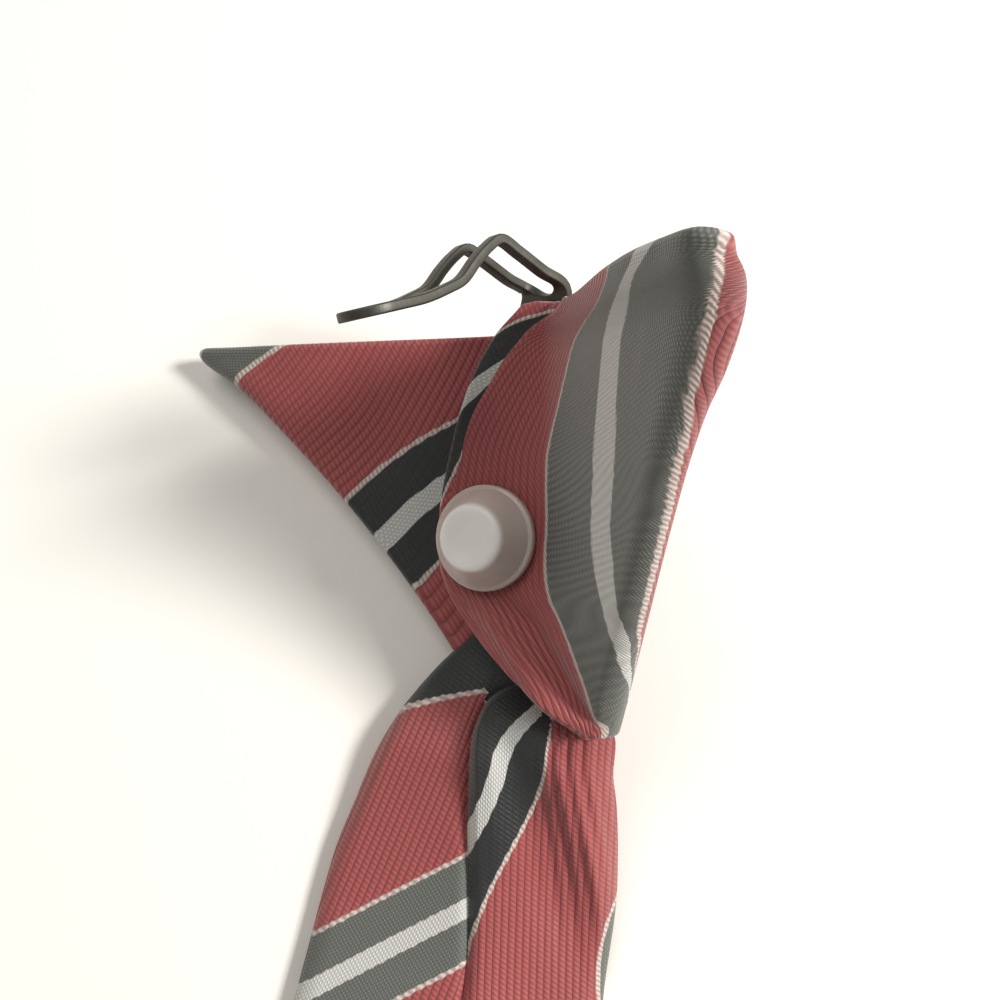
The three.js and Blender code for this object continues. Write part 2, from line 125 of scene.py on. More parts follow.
# Sections of the knot from its bottom edge to its top edge
KNOT_ROWS = table(
    "rise front arch valley_w valley_n crease_w crease_n bulge",
    (0.0, 0.85, -0.5, 0.178, 0.03, 0.172, 0.035, 0),
    (0.08, 0.95, -0.4, 0.155, 0.08, 0.075, 0.17, 0),
    (0.18, 1.0, -0.25, 0.12, 0.11, -0.11, 0.28, 0),
    (0.3, 1.05, -0.1, 0.085, 0.125, -0.21, 0.37, 0),
    (0.45, 1.05, 0.05, 0.06, 0.13, -0.225, 0.395, 0),
    (0.6, 1.0, 0.15, 0.05, 0.13, -0.205, 0.385, 0.1),
    (0.8, 0.95, 0.3, 0.04, 0.12, -0.165, 0.325, 0.4),
    (0.93, 0.9, 0.4, 0.035, 0.11, -0.11, 0.24, 0.9),
    (1.0, 0.85, 0.45, 0.03, 0.105, -0.04, 0.17, 1.15),
)

# Sections of the neck inside the knot
NECK_ROWS = table(
    "rise left right thickness",
    (0.0, -0.235, 0.16, 0.8),
    (0.12, -0.205, 0.175, 0.9),
    (0.3, -0.2, 0.18, 1),
    (1.0, -0.17, 0.17, 1),
)

# Sections of the blade, by their distance from the knot's lower edge
BLADE_ROWS = table(
    "run half shift skew roll lift left right seam",
    (-0.8, 0.355, 0.1, 3, 30, 1.8, 1, 1.7, -3.6),
    (1.2, 0.372, 0.052, 1.8, 21, 1.5, 1, 1.9, -3.2),
    (7, 0.426, 0.026, 0.8, 12, 0.6, 1, 1.8, -2.0),
    (12.6, 0.459, 0.017, 0, 7, 0.2, 1, 1.6, -1.3),
    (18, 0.485, 0.011, 0, 3, 0, 1, 1.4, -0.3),
    (28, 0.5, 0.002, 0, 0, 0, 0.95, 1.2, 1.2),
    (60, 0.56, 0, 0, 0, 0, 0.9, 1.05, 1.2),
)

# The pleat where the wrapped layer overlaps its own striped edge: w at each u
PLEAT_ROWS = table(
    "u w",
    (-46, 8),
    (-38, -2),
    (-30, -7.0),
    (-23, -7.8),
    (-17.8, -6.6),
    (-15.3, -6.2),
    (-12.7, -5.4),
    (-9.7, -4.0),
    (-7.2, -2.8),
    (-5.5, -1.6),
    (-3.8, -0.1),
    (-2.9, 1.7),
    (-2.0, 4.7),
    (-1.0, 7.0),
)

# Where the grey stripe group crosses the right wing: w of its first border line and its middle, at each u
WING_STRIPES = table(
    "u first middle",
    (-47.0, 7.4, 13.2),
    (-46.0, 8.0, 13.2),
    (-44.5, 8.7, 13.2),
    (-42.8, 8.7, 13.3),
    (-40.7, 8.6, 13.2),
    (-37.4, 7.2, 13.5),
    (-34.7, 5.7, 14.5),
    (-31.5, 3.5, 14.5),
    (-27.9, 2.9, 14.2),
    (-23.8, 3.1, 14.3),
    (-20.1, 2.9, 15.3),
    (-16.6, 3.05, 16.3),
    (-11.7, 5.3, 18.3),
    (-8.5, 7.4, 20.6),
    (-6.4, 9.7, 24.0),
    (-5.4, 13.4, 26.0),
    (-4.85, 18.4, 27.4),
    (-3.9, 22.5, 30.5),
    (-2.5, 25.0, 32.5),
)

# How far inside the right wing's edge the stripe group's outer border runs, along the cloth
EDGE_STRIPE = table(
    "rise inward",
    (0.0, 0.3),
    (0.3, 0.35),
    (0.52, 0.4),
    (0.64, 0.7),
    (0.7, 0.8),
    (0.75, 1.4),
    (0.8, 1.7),
    (0.85, 1.9),
    (0.91, 1.8),
    (0.97, 0.9),
    (1.0, 0.3),
)

# Where the black stripe group's lower border crosses the blade's right part: x at each y
BLADE_BORDER = table(
    "y x",
    (-60, 0.0),
    (-50, 1.0),
    (-45.1, 1.9),
    (-41, 3.1),
    (-35.6, 4.9),
    (-31.5, 5.7),
    (-28.2, 5.5),
    (-24, 5.4),
)

# Bends of the clip, tip first
CLIP_BENDS = (
    (-1.0, 1.0), (-0.8, 0.877), (-0.58, 0.74), (-0.35, 0.642), (-0.17, 0.579), (0.31, 0.516),
    (0.72, 0.463), (1.0, 0.407), (0.79, 0.312), (0.46, 0.19), (0.2, 0.08),
)

# Stripe pattern: distances from the middle of a group, in millimetres
GROUP_SPACING = 30
WHITE_HALF = 1.2
DARK_HALF = 5.95
CORD_HALF = 6.5
CORD_MIDDLE = (DARK_HALF + CORD_HALF) / 2


def mix(a, b, t):
    return a + (b - a) * t


def clamp01(t):
    return np.clip(t, 0.0, 1.0)


def smooth(t):
    t = clamp01(t)
    return t * t * (3 - 2 * t)


def soft_max(a, b, blend):
    return (a + b + np.sqrt((a - b) ** 2 + blend**2)) / 2


def quarter_round(t):
    """Rises from 0 to 1 like a quarter of a circle."""
    return np.sqrt(1 - (1 - clamp01(t)) ** 2)


def bell(*offsets):
    """A smooth bump, 1 where every offset is zero."""
    return np.exp(-sum(offset**2 for offset in offsets))


def hermite(t, a, slope_a, b, slope_b):
    """A cubic from a to b with the given slopes at its ends."""
    return (
        (2 * t**3 - 3 * t**2 + 1) * a
        + (t**3 - 2 * t**2 + t) * slope_a
        + (3 * t**2 - 2 * t**3) * b
        + (t**3 - t**2) * slope_b
    )


def row_at(rows, key, value):
    """Every column of a table at the given values of its key column, by a smooth curve."""
    keys = rows[key]
    value = np.asarray(value, float)
    k = np.searchsorted(keys[1:-1], value, side="left")
    before = np.maximum(k - 1, 0)
    after = np.minimum(k + 2, len(keys) - 1)
    span = keys[k + 1] - keys[k]
    t = clamp01((value - keys[k]) / span)
    out = {}
    for name, column in rows.items():
        a, b = column[k], column[k + 1]
        slope_a = (b - column[before]) / (keys[k + 1] - keys[before]) * span
        slope_b = (column[after] - a) / (keys[after] - keys[k]) * span
        out[name] = hermite(t, a, slope_a, b, slope_b)
    return out


def side_edge(bow, t):
    """A point on a wing's side edge, from the bottom corner to the tip. bow holds shares of the sizes."""
    start = (NECK_OPENING / 2, -KNOT_HEIGHT, BOTTOM_CORNER_DEPTH * WING_DEPTH)
    bow = [share * size for share, size in zip(bow, (HALF_SPAN, KNOT_HEIGHT, WING_DEPTH))]
    end = (HALF_SPAN, -WING_DROP, WING_DEPTH)
    return [(1 - t) ** 2 * a + 2 * t * (1 - t) * b + t**2 * c for a, b, c in zip(start, bow, end)]


def knot_level(rise):
    """The knot's section at a share of its height: the table's columns and both side edges."""
    rise = np.asarray(rise, float)
    level = row_at(KNOT_ROWS, "rise", rise)
    level["rise"] = rise
    level["right"] = side_edge(RIGHT_BOW, rise)
    left = side_edge(LEFT_BOW, mix(LEFT_CORNER_RISE, 1, rise))
    level["left"] = [-left[0], left[1], left[2]]
    return level


def edge_of(level, w, axis):
    return np.where(w < 0, level["left"][axis], level["right"][axis])


def up_at(level, w, top_blend=None):
    """The height u of a section at w, which bends from the centre to each side edge."""
    if top_blend is None:
        top_blend = np.where(w < 0, LEFT_TOP_BLEND, RIGHT_TOP_BLEND)
    share = clamp01(w / edge_of(level, w, 0))
    centre = mix(-KNOT_HEIGHT - 1, -TOP_SAG, level["rise"])
    blend = mix(BOTTOM_EDGE_BLEND, top_blend, level["rise"] ** 3)
    return mix(centre, edge_of(level, w, 1), share**blend)


def softened(share):
    return np.hypot(share, CENTRE_SOFTNESS) - CENTRE_SOFTNESS


def front_at(level, w):
    """The depth n of the knot's front."""
    s = softened(clamp01(w / edge_of(level, w, 0))) / softened(1)
    outer = edge_of(level, w, 2) - FOLD_RADIUS
    return mix(-KNOT_FRONT_DEPTH * level["front"], outer, s + level["arch"] * s * (1 - s))


def neck_faces(level, w):
    """The neck's two side limits, and its lower and upper face at w."""
    row = row_at(NECK_ROWS, "rise", level["rise"])
    start, end = row["left"] * HALF_SPAN, row["right"] * HALF_SPAN
    round_off = quarter_round(np.minimum(w - start, end - w) / BLADE_EDGE_RADIUS)
    thickness = NECK_THICKNESS * row["thickness"]
    floor = front_at(level, w) + SLANT * (CLOTH_WALL / 2 + PIECE_GAP)
    low = floor + NECK_EDGE_SHARE * thickness * (1 - round_off)
    high = floor + thickness * (NECK_EDGE_SHARE + (1 - NECK_EDGE_SHARE) * round_off)
    return start, end, low, high


def over_neck(level, w):
    """The least depth that keeps a layer clear of the neck. It falls off steeply outside the neck."""
    start, end, _, high = neck_faces(level, w)
    outside = np.maximum(np.maximum(start - w, w - end), 0)
    above = STEEP * np.maximum(level["rise"] - NECK_TOP_RISE - 0.03, 0)
    return high + SLANT * (PIECE_GAP + CLOTH_WALL / 2) - outside - above


def wrap_at(level, w):
    """The wrapped layer: the ramp from its free edge, the valley and the right wing's inner side."""
    valley_w, crease_w = level["valley_w"] * HALF_SPAN, level["crease_w"] * HALF_SPAN
    valley_n = level["valley_n"] * WING_DEPTH
    inner = level["right"][0] - FOLD_RADIUS
    edge_n = level["right"][2] + FOLD_RADIUS
    slope = (level["crease_n"] * WING_DEPTH - valley_n) / (valley_w - crease_w)
    ramp = valley_n + slope * (valley_w - w)
    s = clamp01((w - valley_w) / (inner - valley_w))
    wing = mix(valley_n, edge_n, s**WING_HOLLOW + level["bulge"] * s**2 * (1 - s))
    hug = front_at(level, w) + 2 * FOLD_RADIUS
    layer = soft_max(soft_max(ramp, wing, VALLEY_SOFTNESS), hug, HUG_SOFTNESS)
    return soft_max(layer, over_neck(level, w), NECK_SOFTNESS) - NECK_SOFTNESS


def left_flap_at(level, w):
    """The left wing's inner side, which runs in under the wrapped layer."""
    crease_w = np.minimum(level["crease_w"] * HALF_SPAN, -1)
    tucked = wrap_at(level, np.maximum(w, crease_w)) - FLAP_DROP
    tucked = tucked - FLAP_FALL * np.maximum(crease_w - w, 0)
    hug = front_at(level, w) + 2 * FOLD_RADIUS
    return soft_max(soft_max(hug, tucked, FLAP_SOFTNESS), over_neck(level, w), NECK_SOFTNESS)


# Stripe coordinate (millimetres across the stripes, a black group at 0 and a grey one at 30) and rib
# coordinate (one unit for each rib) on the regions of the cloth. Each row holds the factors of
# 1, x, y, x squared, x times y and y squared.
LEFT_FLAP_STRIPE = (-17.416, 0.23774, -1.51759, -0.00385, -0.01744, -0.01018)
LEFT_FLAP_RIB = (66.003, 1.6114, -0.34985, 0.00936, 0.02103, -0.00427)
STRIP_STRIPE = (-10.219, 0.4358, -1.95028, -0.0965, 0.00397, -0.03586)
STRIP_RIB = (0, 0.5, -0.8, 0, 0, 0)
STRIP_BEND_U = -19
STRIP_PLAIN_U = -26.5

# Right wing, in millimetres along the cloth: the least half width of a group, the white band's share
# of it and that share at the bottom, the room outside the band, and the ground beside the group
LEAST_HALF_GROUP = 4
WHITE_SHARE = 0.19
LOW_WHITE = 0.34
OUTER_ROOM = 0.7
GROUND_OUTSIDE = 8
GROUND_INSIDE = 14
GROUND_STRIPE = 9.5
WING_RIBS = 0.95
WING_RIB_LENGTH = 16

# Blade's left part: its black group's border, which tilts more further down, and the corner of it
# that lies under the right part
LEFT_BORDER_Y = -16.2
LEFT_TILT_TOP, LEFT_TILT_LOW = 0.34, 0.76
LEFT_TILT_Y, LEFT_TILT_RUN = -24, 14
LEFT_LEAST_STRIPE = 2.6
COVER_X, COVER_Y, COVER_SLOPE, COVER_END = -1.6, -23.4, 0.13, -25.5
COVERED_STRIPE = 3.5
LEFT_RIB = (48.45, 1.194, -0.2742, 0, 0, 0)

# Blade's right part: how fast the stripe coordinate rises across it, the stripe that tucks in at the
# top, and the coordinate's rise further down
RIGHT_STEEPNESS, RIGHT_EASING = 1.3, 0.4
RIGHT_EASING_Y, RIGHT_EASING_RUN = -44, 22
TUCKED_STRIPE = 5.3
TUCK_Y, TUCK_RUN, TUCK_WIDTH = -31.5, 7.9, 0.5
LEAST_RIGHT_STRIPE = -5
FAR_SLOPE, FAR_ADDED, FAR_BLEND_RUN = 0.2, 0.7, 40
RIGHT_RIB = (71.39, 1.2536, 0.179, 0, 0, 0)


def quadratic(c, x, y):
    return c[0] + c[1] * x + c[2] * y + c[3] * x * x + c[4] * x * y + c[5] * y * y


def left_flap_pattern(w, u):
    return quadratic(LEFT_FLAP_STRIPE, w, u), quadratic(LEFT_FLAP_RIB, w, u)


def strip_pattern(w, u):
    bend = 0.25 * np.maximum(STRIP_BEND_U - u, 0) ** 1.2
    return quadratic(STRIP_STRIPE, w, u) + bend, quadratic(STRIP_RIB, w, u)


def crossing(f, lengths):
    """Where along each row f falls through zero, as a length along the cloth."""
    found = np.array([np.interp(0, a[::-1], b[::-1]) for a, b in zip(f, lengths)])[:, None]
    return found + np.minimum(f[:, :1], 0) + np.maximum(f[:, -1:], 0)


def ramps(at, knots):
    """Straight ramps through knots of a place and a value. The places rise from knot to knot."""
    total = knots[0][1]
    for (start, low), (end, high) in zip(knots, knots[1:]):
        total = total + (high - low) * clamp01((at - start) / (end - start))
    return total


def wing_pattern(outer, outer_lengths, edge_length, rise):
    """Stripe and rib coordinates of the right wing, as functions of the length along the cloth."""
    at = row_at(WING_STRIPES, "u", outer[1])
    first = crossing(outer[0] - at["first"], outer_lengths)
    middle = np.minimum(crossing(outer[0] - at["middle"], outer_lengths), first - LEAST_HALF_GROUP)
    white = WHITE_SHARE * (first - middle) * mix(LOW_WHITE, 1, smooth((rise - 0.22) / 0.2))
    edge_stripe = edge_length + row_at(EDGE_STRIPE, "rise", rise)["inward"]
    last = np.minimum(edge_stripe, middle - white - OUTER_ROOM)
    cord = (CORD_HALF - DARK_HALF) / 2
    density = WING_RIBS * np.sqrt(WING_RIB_LENGTH / (outer_lengths[:, -1:] - first))

    def pattern(lengths):
        stripe = ramps(lengths, (
            (last - GROUND_OUTSIDE, GROUP_SPACING + CORD_HALF + GROUND_OUTSIDE),
            (last - cord, GROUP_SPACING + CORD_HALF),
            (last + cord, GROUP_SPACING + DARK_HALF),
            (middle - white, GROUP_SPACING + WHITE_HALF),
            (middle + white, GROUP_SPACING - WHITE_HALF),
            (first - cord, GROUP_SPACING - DARK_HALF),
            (first + cord, GROUP_SPACING - CORD_HALF),
            (first + GROUND_INSIDE, GROUND_STRIPE),
        ))
        return stripe, density * (first - lengths)

    return pattern


def blade_left_pattern(x, y):
    tilt = mix(LEFT_TILT_TOP, LEFT_TILT_LOW, smooth((LEFT_TILT_Y - y) / LEFT_TILT_RUN))
    stripe = np.maximum(LEFT_BORDER_Y - y + tilt * x, LEFT_LEAST_STRIPE)
    covered = (x > COVER_X - COVER_SLOPE * (y - COVER_Y)) & (y > COVER_END)
    return np.where(covered, COVERED_STRIPE, stripe), quadratic(LEFT_RIB, x, y)


def blade_right_pattern(x, y):
    low_end, top_end = BLADE_BORDER["y"][[0, -1]]
    border = row_at(BLADE_BORDER, "y", np.clip(y, low_end, top_end))["x"]
    below = np.maximum(low_end - y, 0)
    steep = RIGHT_STEEPNESS - RIGHT_EASING * smooth((RIGHT_EASING_Y - y) / RIGHT_EASING_RUN)
    tuck_share = clamp01((y - TUCK_Y) / TUCK_RUN) ** 2
    tucked = TUCKED_STRIPE * tuck_share * smooth((border - x) / TUCK_WIDTH)
    easing = np.where(below < FAR_BLEND_RUN, below**2 / (2 * FAR_BLEND_RUN), below - FAR_BLEND_RUN / 2)
    far = FAR_SLOPE * below + FAR_ADDED * easing
    stripe = np.maximum(CORD_MIDDLE + steep * (x - border) - tucked, LEAST_RIGHT_STRIPE)
    return stripe + far, quadratic(RIGHT_RIB, x, y)


# Meshes
def add_object(name, data):
    """A new object in the scene."""
    added = bpy.data.objects.new(name, data)
    bpy.context.scene.collection.objects.link(added)
    return added


def smooth_mesh(name, points, faces):
    """A mesh with all its faces shaded smooth."""
    mesh = bpy.data.meshes.new(name)
    mesh.from_pydata(points.tolist(), [], faces)
    mesh.polygons.foreach_set("use_smooth", [True] * len(mesh.polygons))
    return mesh


def add_uv(mesh, label, values):
    """A UV map from pairs of values, one for each face corner."""
    mesh.uv_layers.new(name=label).data.foreach_set("uv", values.astype(np.float32).reshape(-1))


def at_corners(mesh, values):
    """The vertices' values, one for each face corner."""
    corner = np.empty(len(mesh.loops), dtype=int)
    mesh.loops.foreach_get("vertex_index", corner)
    return values[corner]


def sheet_object(name, low, high, low_looks, high_looks, first_corner=0):
    """A closed piece between a lower and an upper grid of points.

    The looks hold the stripe, the rib and the run along the cloth, each as a list of arrays, one for
    each part of the grid from left to right. first_corner picks the diagonal that splits each face.
    """
    rows, width = low.shape[:2]
    columns = 2 * width
    loops = np.concatenate([low, high[:, ::-1]], axis=1)
    j, i = np.meshgrid(np.arange(rows - 1), np.arange(columns), indexing="ij")
    k = np.arange(width - 1)
    corners = ((0, 0), (0, 1), (1, 1), (1, 0))
    corners = corners[first_corner:] + corners[:first_corner]
    faces = [np.stack([(j + dj) * columns + (i + di) % columns for dj, di in corners], axis=2)]
    for row, order in ((0, 1), (rows - 1, -1)):
        cap = [k, columns - 1 - k, columns - 2 - k, k + 1][::order]
        faces.append(row * columns + np.stack(cap, axis=1))

    values = []
    for below, above in zip(low_looks, high_looks):
        back = [part[:, ::-1] for part in above[::-1]]
        parts = [*below, above[-1][:, [-1, -1]], *back, above[0][:, [0, 0]]]
        starts = np.concatenate([part[:, :-1] for part in parts], axis=1)
        ends = np.concatenate([part[:, 1:] for part in parts], axis=1)
        sides = (starts, ends)
        around = [np.stack([sides[di][j + dj, i] for dj, di in corners], axis=2)]
        for row, order in ((0, 1), (rows - 1, -1)):
            cap = [sides[di][row, k] for di in (0, 0, 1, 1)][::order]
            around.append(np.stack(cap, axis=1))
        values.append(np.concatenate([v.reshape(-1) for v in around]))
    stripe, rib, along = values

    faces = np.concatenate([f.reshape(-1, 4) for f in faces])
    mesh = smooth_mesh(name, loops.reshape(-1, 3), faces.tolist())
    add_uv(mesh, "stripes", np.stack([stripe, rib], axis=1))
    add_uv(mesh, "along", np.stack([along, rib], axis=1))
    mesh.update()
    return add_object(name, mesh)


def spread(shares):
    """Shares as one row, to be used on all the rows of a grid."""
    return np.asarray(shares, float)[None, :]


def even(count):
    return np.linspace(0, 1, count)


# Rows and columns of the band's grid, closer together at its rims
RIM_SHARES = np.array([0, 0.0025, 0.007, 0.014])
RISES = np.concatenate([RIM_SHARES, np.linspace(0.022, 0.978, 112), 1 - RIM_SHARES[::-1]])
TUCK_RIM = RIM_SHARES * 8
TUCK_SHARES = np.concatenate([TUCK_RIM, np.linspace(0.2, 1, 7)])
FLAP_COLUMNS, FRONT_COLUMNS, OUTER_COLUMNS, FOLD_COLUMNS = 84, 90, 120, 10
STRIP_SHARES = np.concatenate([[0, 0.03], np.linspace(0.08, 0.9, 20), 1 - 0.5 * TUCK_RIM[::-1]])

# Hollow in the left wing: its w and u, its reach in both, and its depth
HOLLOW_AT = (-22, -13)
HOLLOW_REACH = (5, 7)
HOLLOW_DEPTH = 0.9

# Soft fold low on the wrapped layer: a point that it passes, its slope, and the ridge beside the groove
LOW_FOLD_W, LOW_FOLD_U = 1.8, -35.5
LOW_FOLD_SLOPE = 0.75
LOW_FOLD_TOP = -31
LOW_GROOVE = 0.9
LOW_RIDGE = 0.8
LOW_RIDGE_AT = -3.2

# Rims of the cloth: the reach of their rounding and the thickness left at the rim, as shares
RIM_REACH = 0.55
RIM_SHARE = 0.12

# Wing edges: how far inward the soft roll reaches, where it is fattest, and the step at the pleat
ROLL_REACH = 7
ROLL_PEAK = 1.8
PLEAT_STEP = 0.42


def pleat_w_at(level):
    """Where each row meets the pleat line, found step by step."""
    crease = level["crease_w"] * HALF_SPAN
    valley = level["valley_w"] * HALF_SPAN
    w = crease
    for _ in range(6):
        w = row_at(PLEAT_ROWS, "u", up_at(level, w, RIGHT_TOP_BLEND))["w"]
    return np.maximum(w, mix(crease, valley, 0.1))


# How far the soft roll of each wing edge stands out sideways and how much it fattens the edge
ROLL_ROWS = table(
    "rise right_out right_fat left_out left_fat",
    (0.0, 0.3, 0.2, 0.3, 0.1),
    (0.3, 0.3, 0.3, 0.3, 0.1),
    (0.6, 0.3, 0.5, 0.3, 0.2),
    (0.72, 0.7, 0.8, 0.0, 0.3),
    (0.8, 1.5, 1.2, -0.4, 0.4),
    (0.88, 1.6, 1.4, -0.4, 0.6),
    (0.93, 0.9, 1.3, 0.5, 0.8),
    (0.965, -0.5, 1.0, 0.8, 0.9),
    (1.0, -1.3, 0.6, -0.2, 0.9),
)


def rolled(grid, level, side):
    """A part of the band with the wing edges' soft roll added. side is positive inside the wing."""
    w, u, n = grid
    roll = row_at(ROLL_ROWS, "rise", level["rise"])
    for edge, sign, out, fat in (
        (level["right"][0], 1, roll["right_out"], roll["right_fat"]),
        (level["left"][0], -1, roll["left_out"], roll["left_fat"]),
    ):
        inward = np.maximum(sign * (edge - w), 0)
        near = smooth(1 - inward / ROLL_REACH) * (sign * w > 0)
        w = w + sign * out * near
        swell = inward / ROLL_PEAK * np.exp(1 - inward / ROLL_PEAK)
        n = n + side * fat * swell * (sign * w > 0)
    return [w, u, n]


def on_layer(level, w):
    """Points of the wrapped layer."""
    return [w, up_at(level, w, RIGHT_TOP_BLEND), wrap_at(level, w)]


def band_segments(rise):
    """The band's parts in order: left flap, left fold, front, right fold, right wing, striped edge."""
    level = knot_level(rise)
    left_in = level["left"][0] + FOLD_RADIUS
    right_in = level["right"][0] - FOLD_RADIUS
    crease = level["crease_w"] * HALF_SPAN
    pleat = pleat_w_at(level)
    hidden = np.minimum(knot_level(mix(FLAP_START, 1, rise))["crease_w"] * HALF_SPAN, -1)

    tuck = mix(hidden + FLAP_TUCK, hidden, spread(TUCK_SHARES))
    flap_w = np.concatenate([tuck, mix(hidden, left_in, spread(even(FLAP_COLUMNS)[1:]))], axis=1)
    near = knot_level(mix(FLAP_START * (1 - clamp01(flap_w / left_in)), 1, rise))
    flap = [flap_w, up_at(near, flap_w), left_flap_at(near, flap_w)]
    offsets = [(p - at) / reach for p, at, reach in zip(flap, HOLLOW_AT, HOLLOW_REACH)]
    flap[2] = flap[2] - HOLLOW_DEPTH * bell(*offsets)
    flap = rolled(flap, level, 1)

    front_w = mix(left_in, right_in, spread(even(FRONT_COLUMNS)))
    front = rolled([front_w, up_at(level, front_w), front_at(level, front_w)], level, -0.6)

    outer = rolled(on_layer(level, mix(right_in, pleat, spread(even(OUTER_COLUMNS)))), level, 1)
    past = outer[0] - LOW_FOLD_W + LOW_FOLD_SLOPE * (outer[1] - LOW_FOLD_U)
    low_part = smooth((LOW_FOLD_TOP - outer[1]) / 4) * smooth((outer[1] + KNOT_HEIGHT) / 3)
    low_fold = LOW_RIDGE * bell((past - LOW_RIDGE_AT) / 1.8) - LOW_GROOVE * bell(past / 1.7)
    outer[2] = outer[2] + low_part * low_fold

    strip = on_layer(level, mix(pleat, crease, spread(STRIP_SHARES)))
    step = PLEAT_STEP * smooth((strip[1] + 19) / 8)
    away = clamp01((pleat - strip[0]) / np.maximum(pleat - crease, 0.5))
    strip[2] = strip[2] - step * smooth(away / 0.06) * (1 - smooth(away / 0.8))

    def fold(edge, centre_w, start_angle, end_angle, before, after):
        angles = np.linspace(start_angle, end_angle, FOLD_COLUMNS)[1:-1]
        w = centre_w + FOLD_RADIUS * np.cos(angles)
        n = edge[2] + FOLD_RADIUS * np.sin(angles)
        arc = rolled([w, up_at(level, w), n], level, 0)
        return [np.concatenate([b[:, -1:], a, c[:, :1]], axis=1) for b, a, c in zip(before, arc, after)]

    left_fold = fold(level["left"], left_in, math.pi / 2, 3 * math.pi / 2, flap, front)
    right_fold = fold(level["right"], right_in, -math.pi / 2, math.pi / 2, front, outer)
    return [flap, left_fold, front, right_fold, outer, strip]


def band_patterns(segments, lengths, rise):
    """Stripe and rib coordinates of the band's parts. They run on round each fold."""
    flap, left_fold, front, right_fold, outer, strip = segments
    left_in, right_in = front[0][:, :1], front[0][:, -1:]
    left_turn = lengths[1] - lengths[1][:, :1]
    left_patterns = left_flap_pattern(flap[0][:, -1:] - left_turn, left_fold[1])
    fold_middle = (lengths[3][:, :1] + lengths[3][:, -1:]) / 2
    on_wing = wing_pattern(outer, lengths[4], fold_middle, rise)
    right_patterns = on_wing(lengths[3])
    share = (front[0] - left_in) / (right_in - left_in)
    front_patterns = [mix(a[:, -1:], b[:, :1], share) for a, b in zip(left_patterns, right_patterns)]
    striped, plain = strip_pattern(strip[0], strip[1]), on_wing(lengths[5])
    strip_patterns = [np.where(strip[1] < STRIP_PLAIN_U, b, a) for a, b in zip(striped, plain)]
    return [
        left_flap_pattern(flap[0], flap[1]),
        left_patterns,
        front_patterns,
        right_patterns,
        on_wing(lengths[4]),
        strip_patterns,
    ]


def unit(v):
    return v / np.maximum(np.linalg.norm(v, axis=-1, keepdims=True), 1e-12)


def turn_matrix():
    roll, pitch, yaw = (math.radians(a) for a in (-KNOT_ROLL, KNOT_PITCH, KNOT_YAW))
    turn = Matrix.Rotation(yaw, 3, "Z") @ Matrix.Rotation(roll, 3, "Y") @ Matrix.Rotation(pitch, 3, "X")
    return np.array(turn)


KNOT_TURN = turn_matrix()


def from_knot(points):
    return points @ KNOT_TURN.T + np.array(KNOT_ROOT)


KNOT_FOOT = from_knot(np.array([0, -KNOT_HEIGHT, 0.0]))[1]
blade_low, blade_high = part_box("blade")
SHIFT = np.array([
    (blade_low[0] + blade_high[0]) / 2 / MM,
    blade_low[1] / MM - (KNOT_FOOT - BLADE_LENGTH),
    0,
])


def to_scene(points):
    return (points + SHIFT) * MM


def run_along(grid):
    """Each grid point's distance from the start of its row, along the row."""
    steps = np.linalg.norm(np.diff(grid, axis=1), axis=2)
    return np.pad(np.cumsum(steps, axis=1), ((0, 0), (1, 0)))


def rim_distance(middle):
    """How far each grid point lies from the nearest rim, along the grid's lines."""
    from_left = run_along(middle)
    from_low = run_along(middle.swapaxes(0, 1)).T
    return np.minimum.reduce([
        from_left, from_left[:, -1:] - from_left, from_low, from_low[-1:] - from_low,
    ])


def relax(rows, first, last, times):
    """Evens out the rows from first to last with their neighbours, in place."""
    for _ in range(times):
        before, after = rows[first - 1 : last], rows[first + 1 : last + 2]
        rows[first : last + 1] = (before + 2 * rows[first : last + 1] + after) / 4


def make_knot():
    """The band as a padded sheet around its middle surface, with rounded rims."""
    rise = RISES[:, None]
    segments = band_segments(rise)
    grids = [np.stack(s, axis=2) for s in segments]
    middle = np.concatenate([grids[0]] + [g[:, 1:] for g in grids[1:]], axis=1)
    starts = np.cumsum([0] + [g.shape[1] - 1 for g in grids])
    for fold in (1, 3):
        relax(middle.swapaxes(0, 1), starts[fold] - 8, starts[fold + 1] + 8, 10)
    run = run_along(middle)
    lengths = [run[:, a : b + 1] for a, b in zip(starts[:-1], starts[1:])]
    patterns = band_patterns(segments, lengths, rise)

    normal = unit(np.cross(np.gradient(middle, axis=1), np.gradient(middle, axis=0)))
    rounding = quarter_round(rim_distance(middle) / (RIM_REACH * CLOTH_WALL))
    half = CLOTH_WALL / 2 * mix(RIM_SHARE, 1, rounding)
    lower, upper = (
        to_scene(from_knot(middle + side * half[..., None] * normal))[::-1] for side in (-1, 1)
    )
    along = [0.7 * (g[..., 0] + g[..., 1]) for g in grids]
    looks = [[part[::-1] for part in parts] for parts in (*zip(*patterns), along)]
    return sheet_object("knot_cloth", lower, upper, looks, looks, first_corner=1)


# Blade
LEFT_COLUMNS, RIGHT_COLUMNS = 34, 64
SEAM_COLUMN = LEFT_COLUMNS - 1
COLUMN_EASE = 0.55
NECK_SEAM = -0.35
POINT_START = BLADE_LENGTH - BLADE_WIDTH / 2
POINT_ROUND = 0.4
EDGE_SHARE = 0.4
ROOF = 2.6
GATHER_HEIGHT = 0.2
GATHER_SPACING = 1.5
SOFT_FOLD_RIDGE, SOFT_FOLD_GROOVE = 1.0, 0.8
LEFT_SHOULDER, RIGHT_SHOULDER = 5.6, 3.0
NECK_RINGS = 26
NEAR_END = 70
NEAR_STEP = 0.8
FAR_RINGS = 130
POINT_RINGS = 26


def denser(count):
    """Shares from 0 to 1, closer together at both ends."""
    t = even(count)
    return mix(t, (1 - np.cos(math.pi * t)) / 2, COLUMN_EASE)


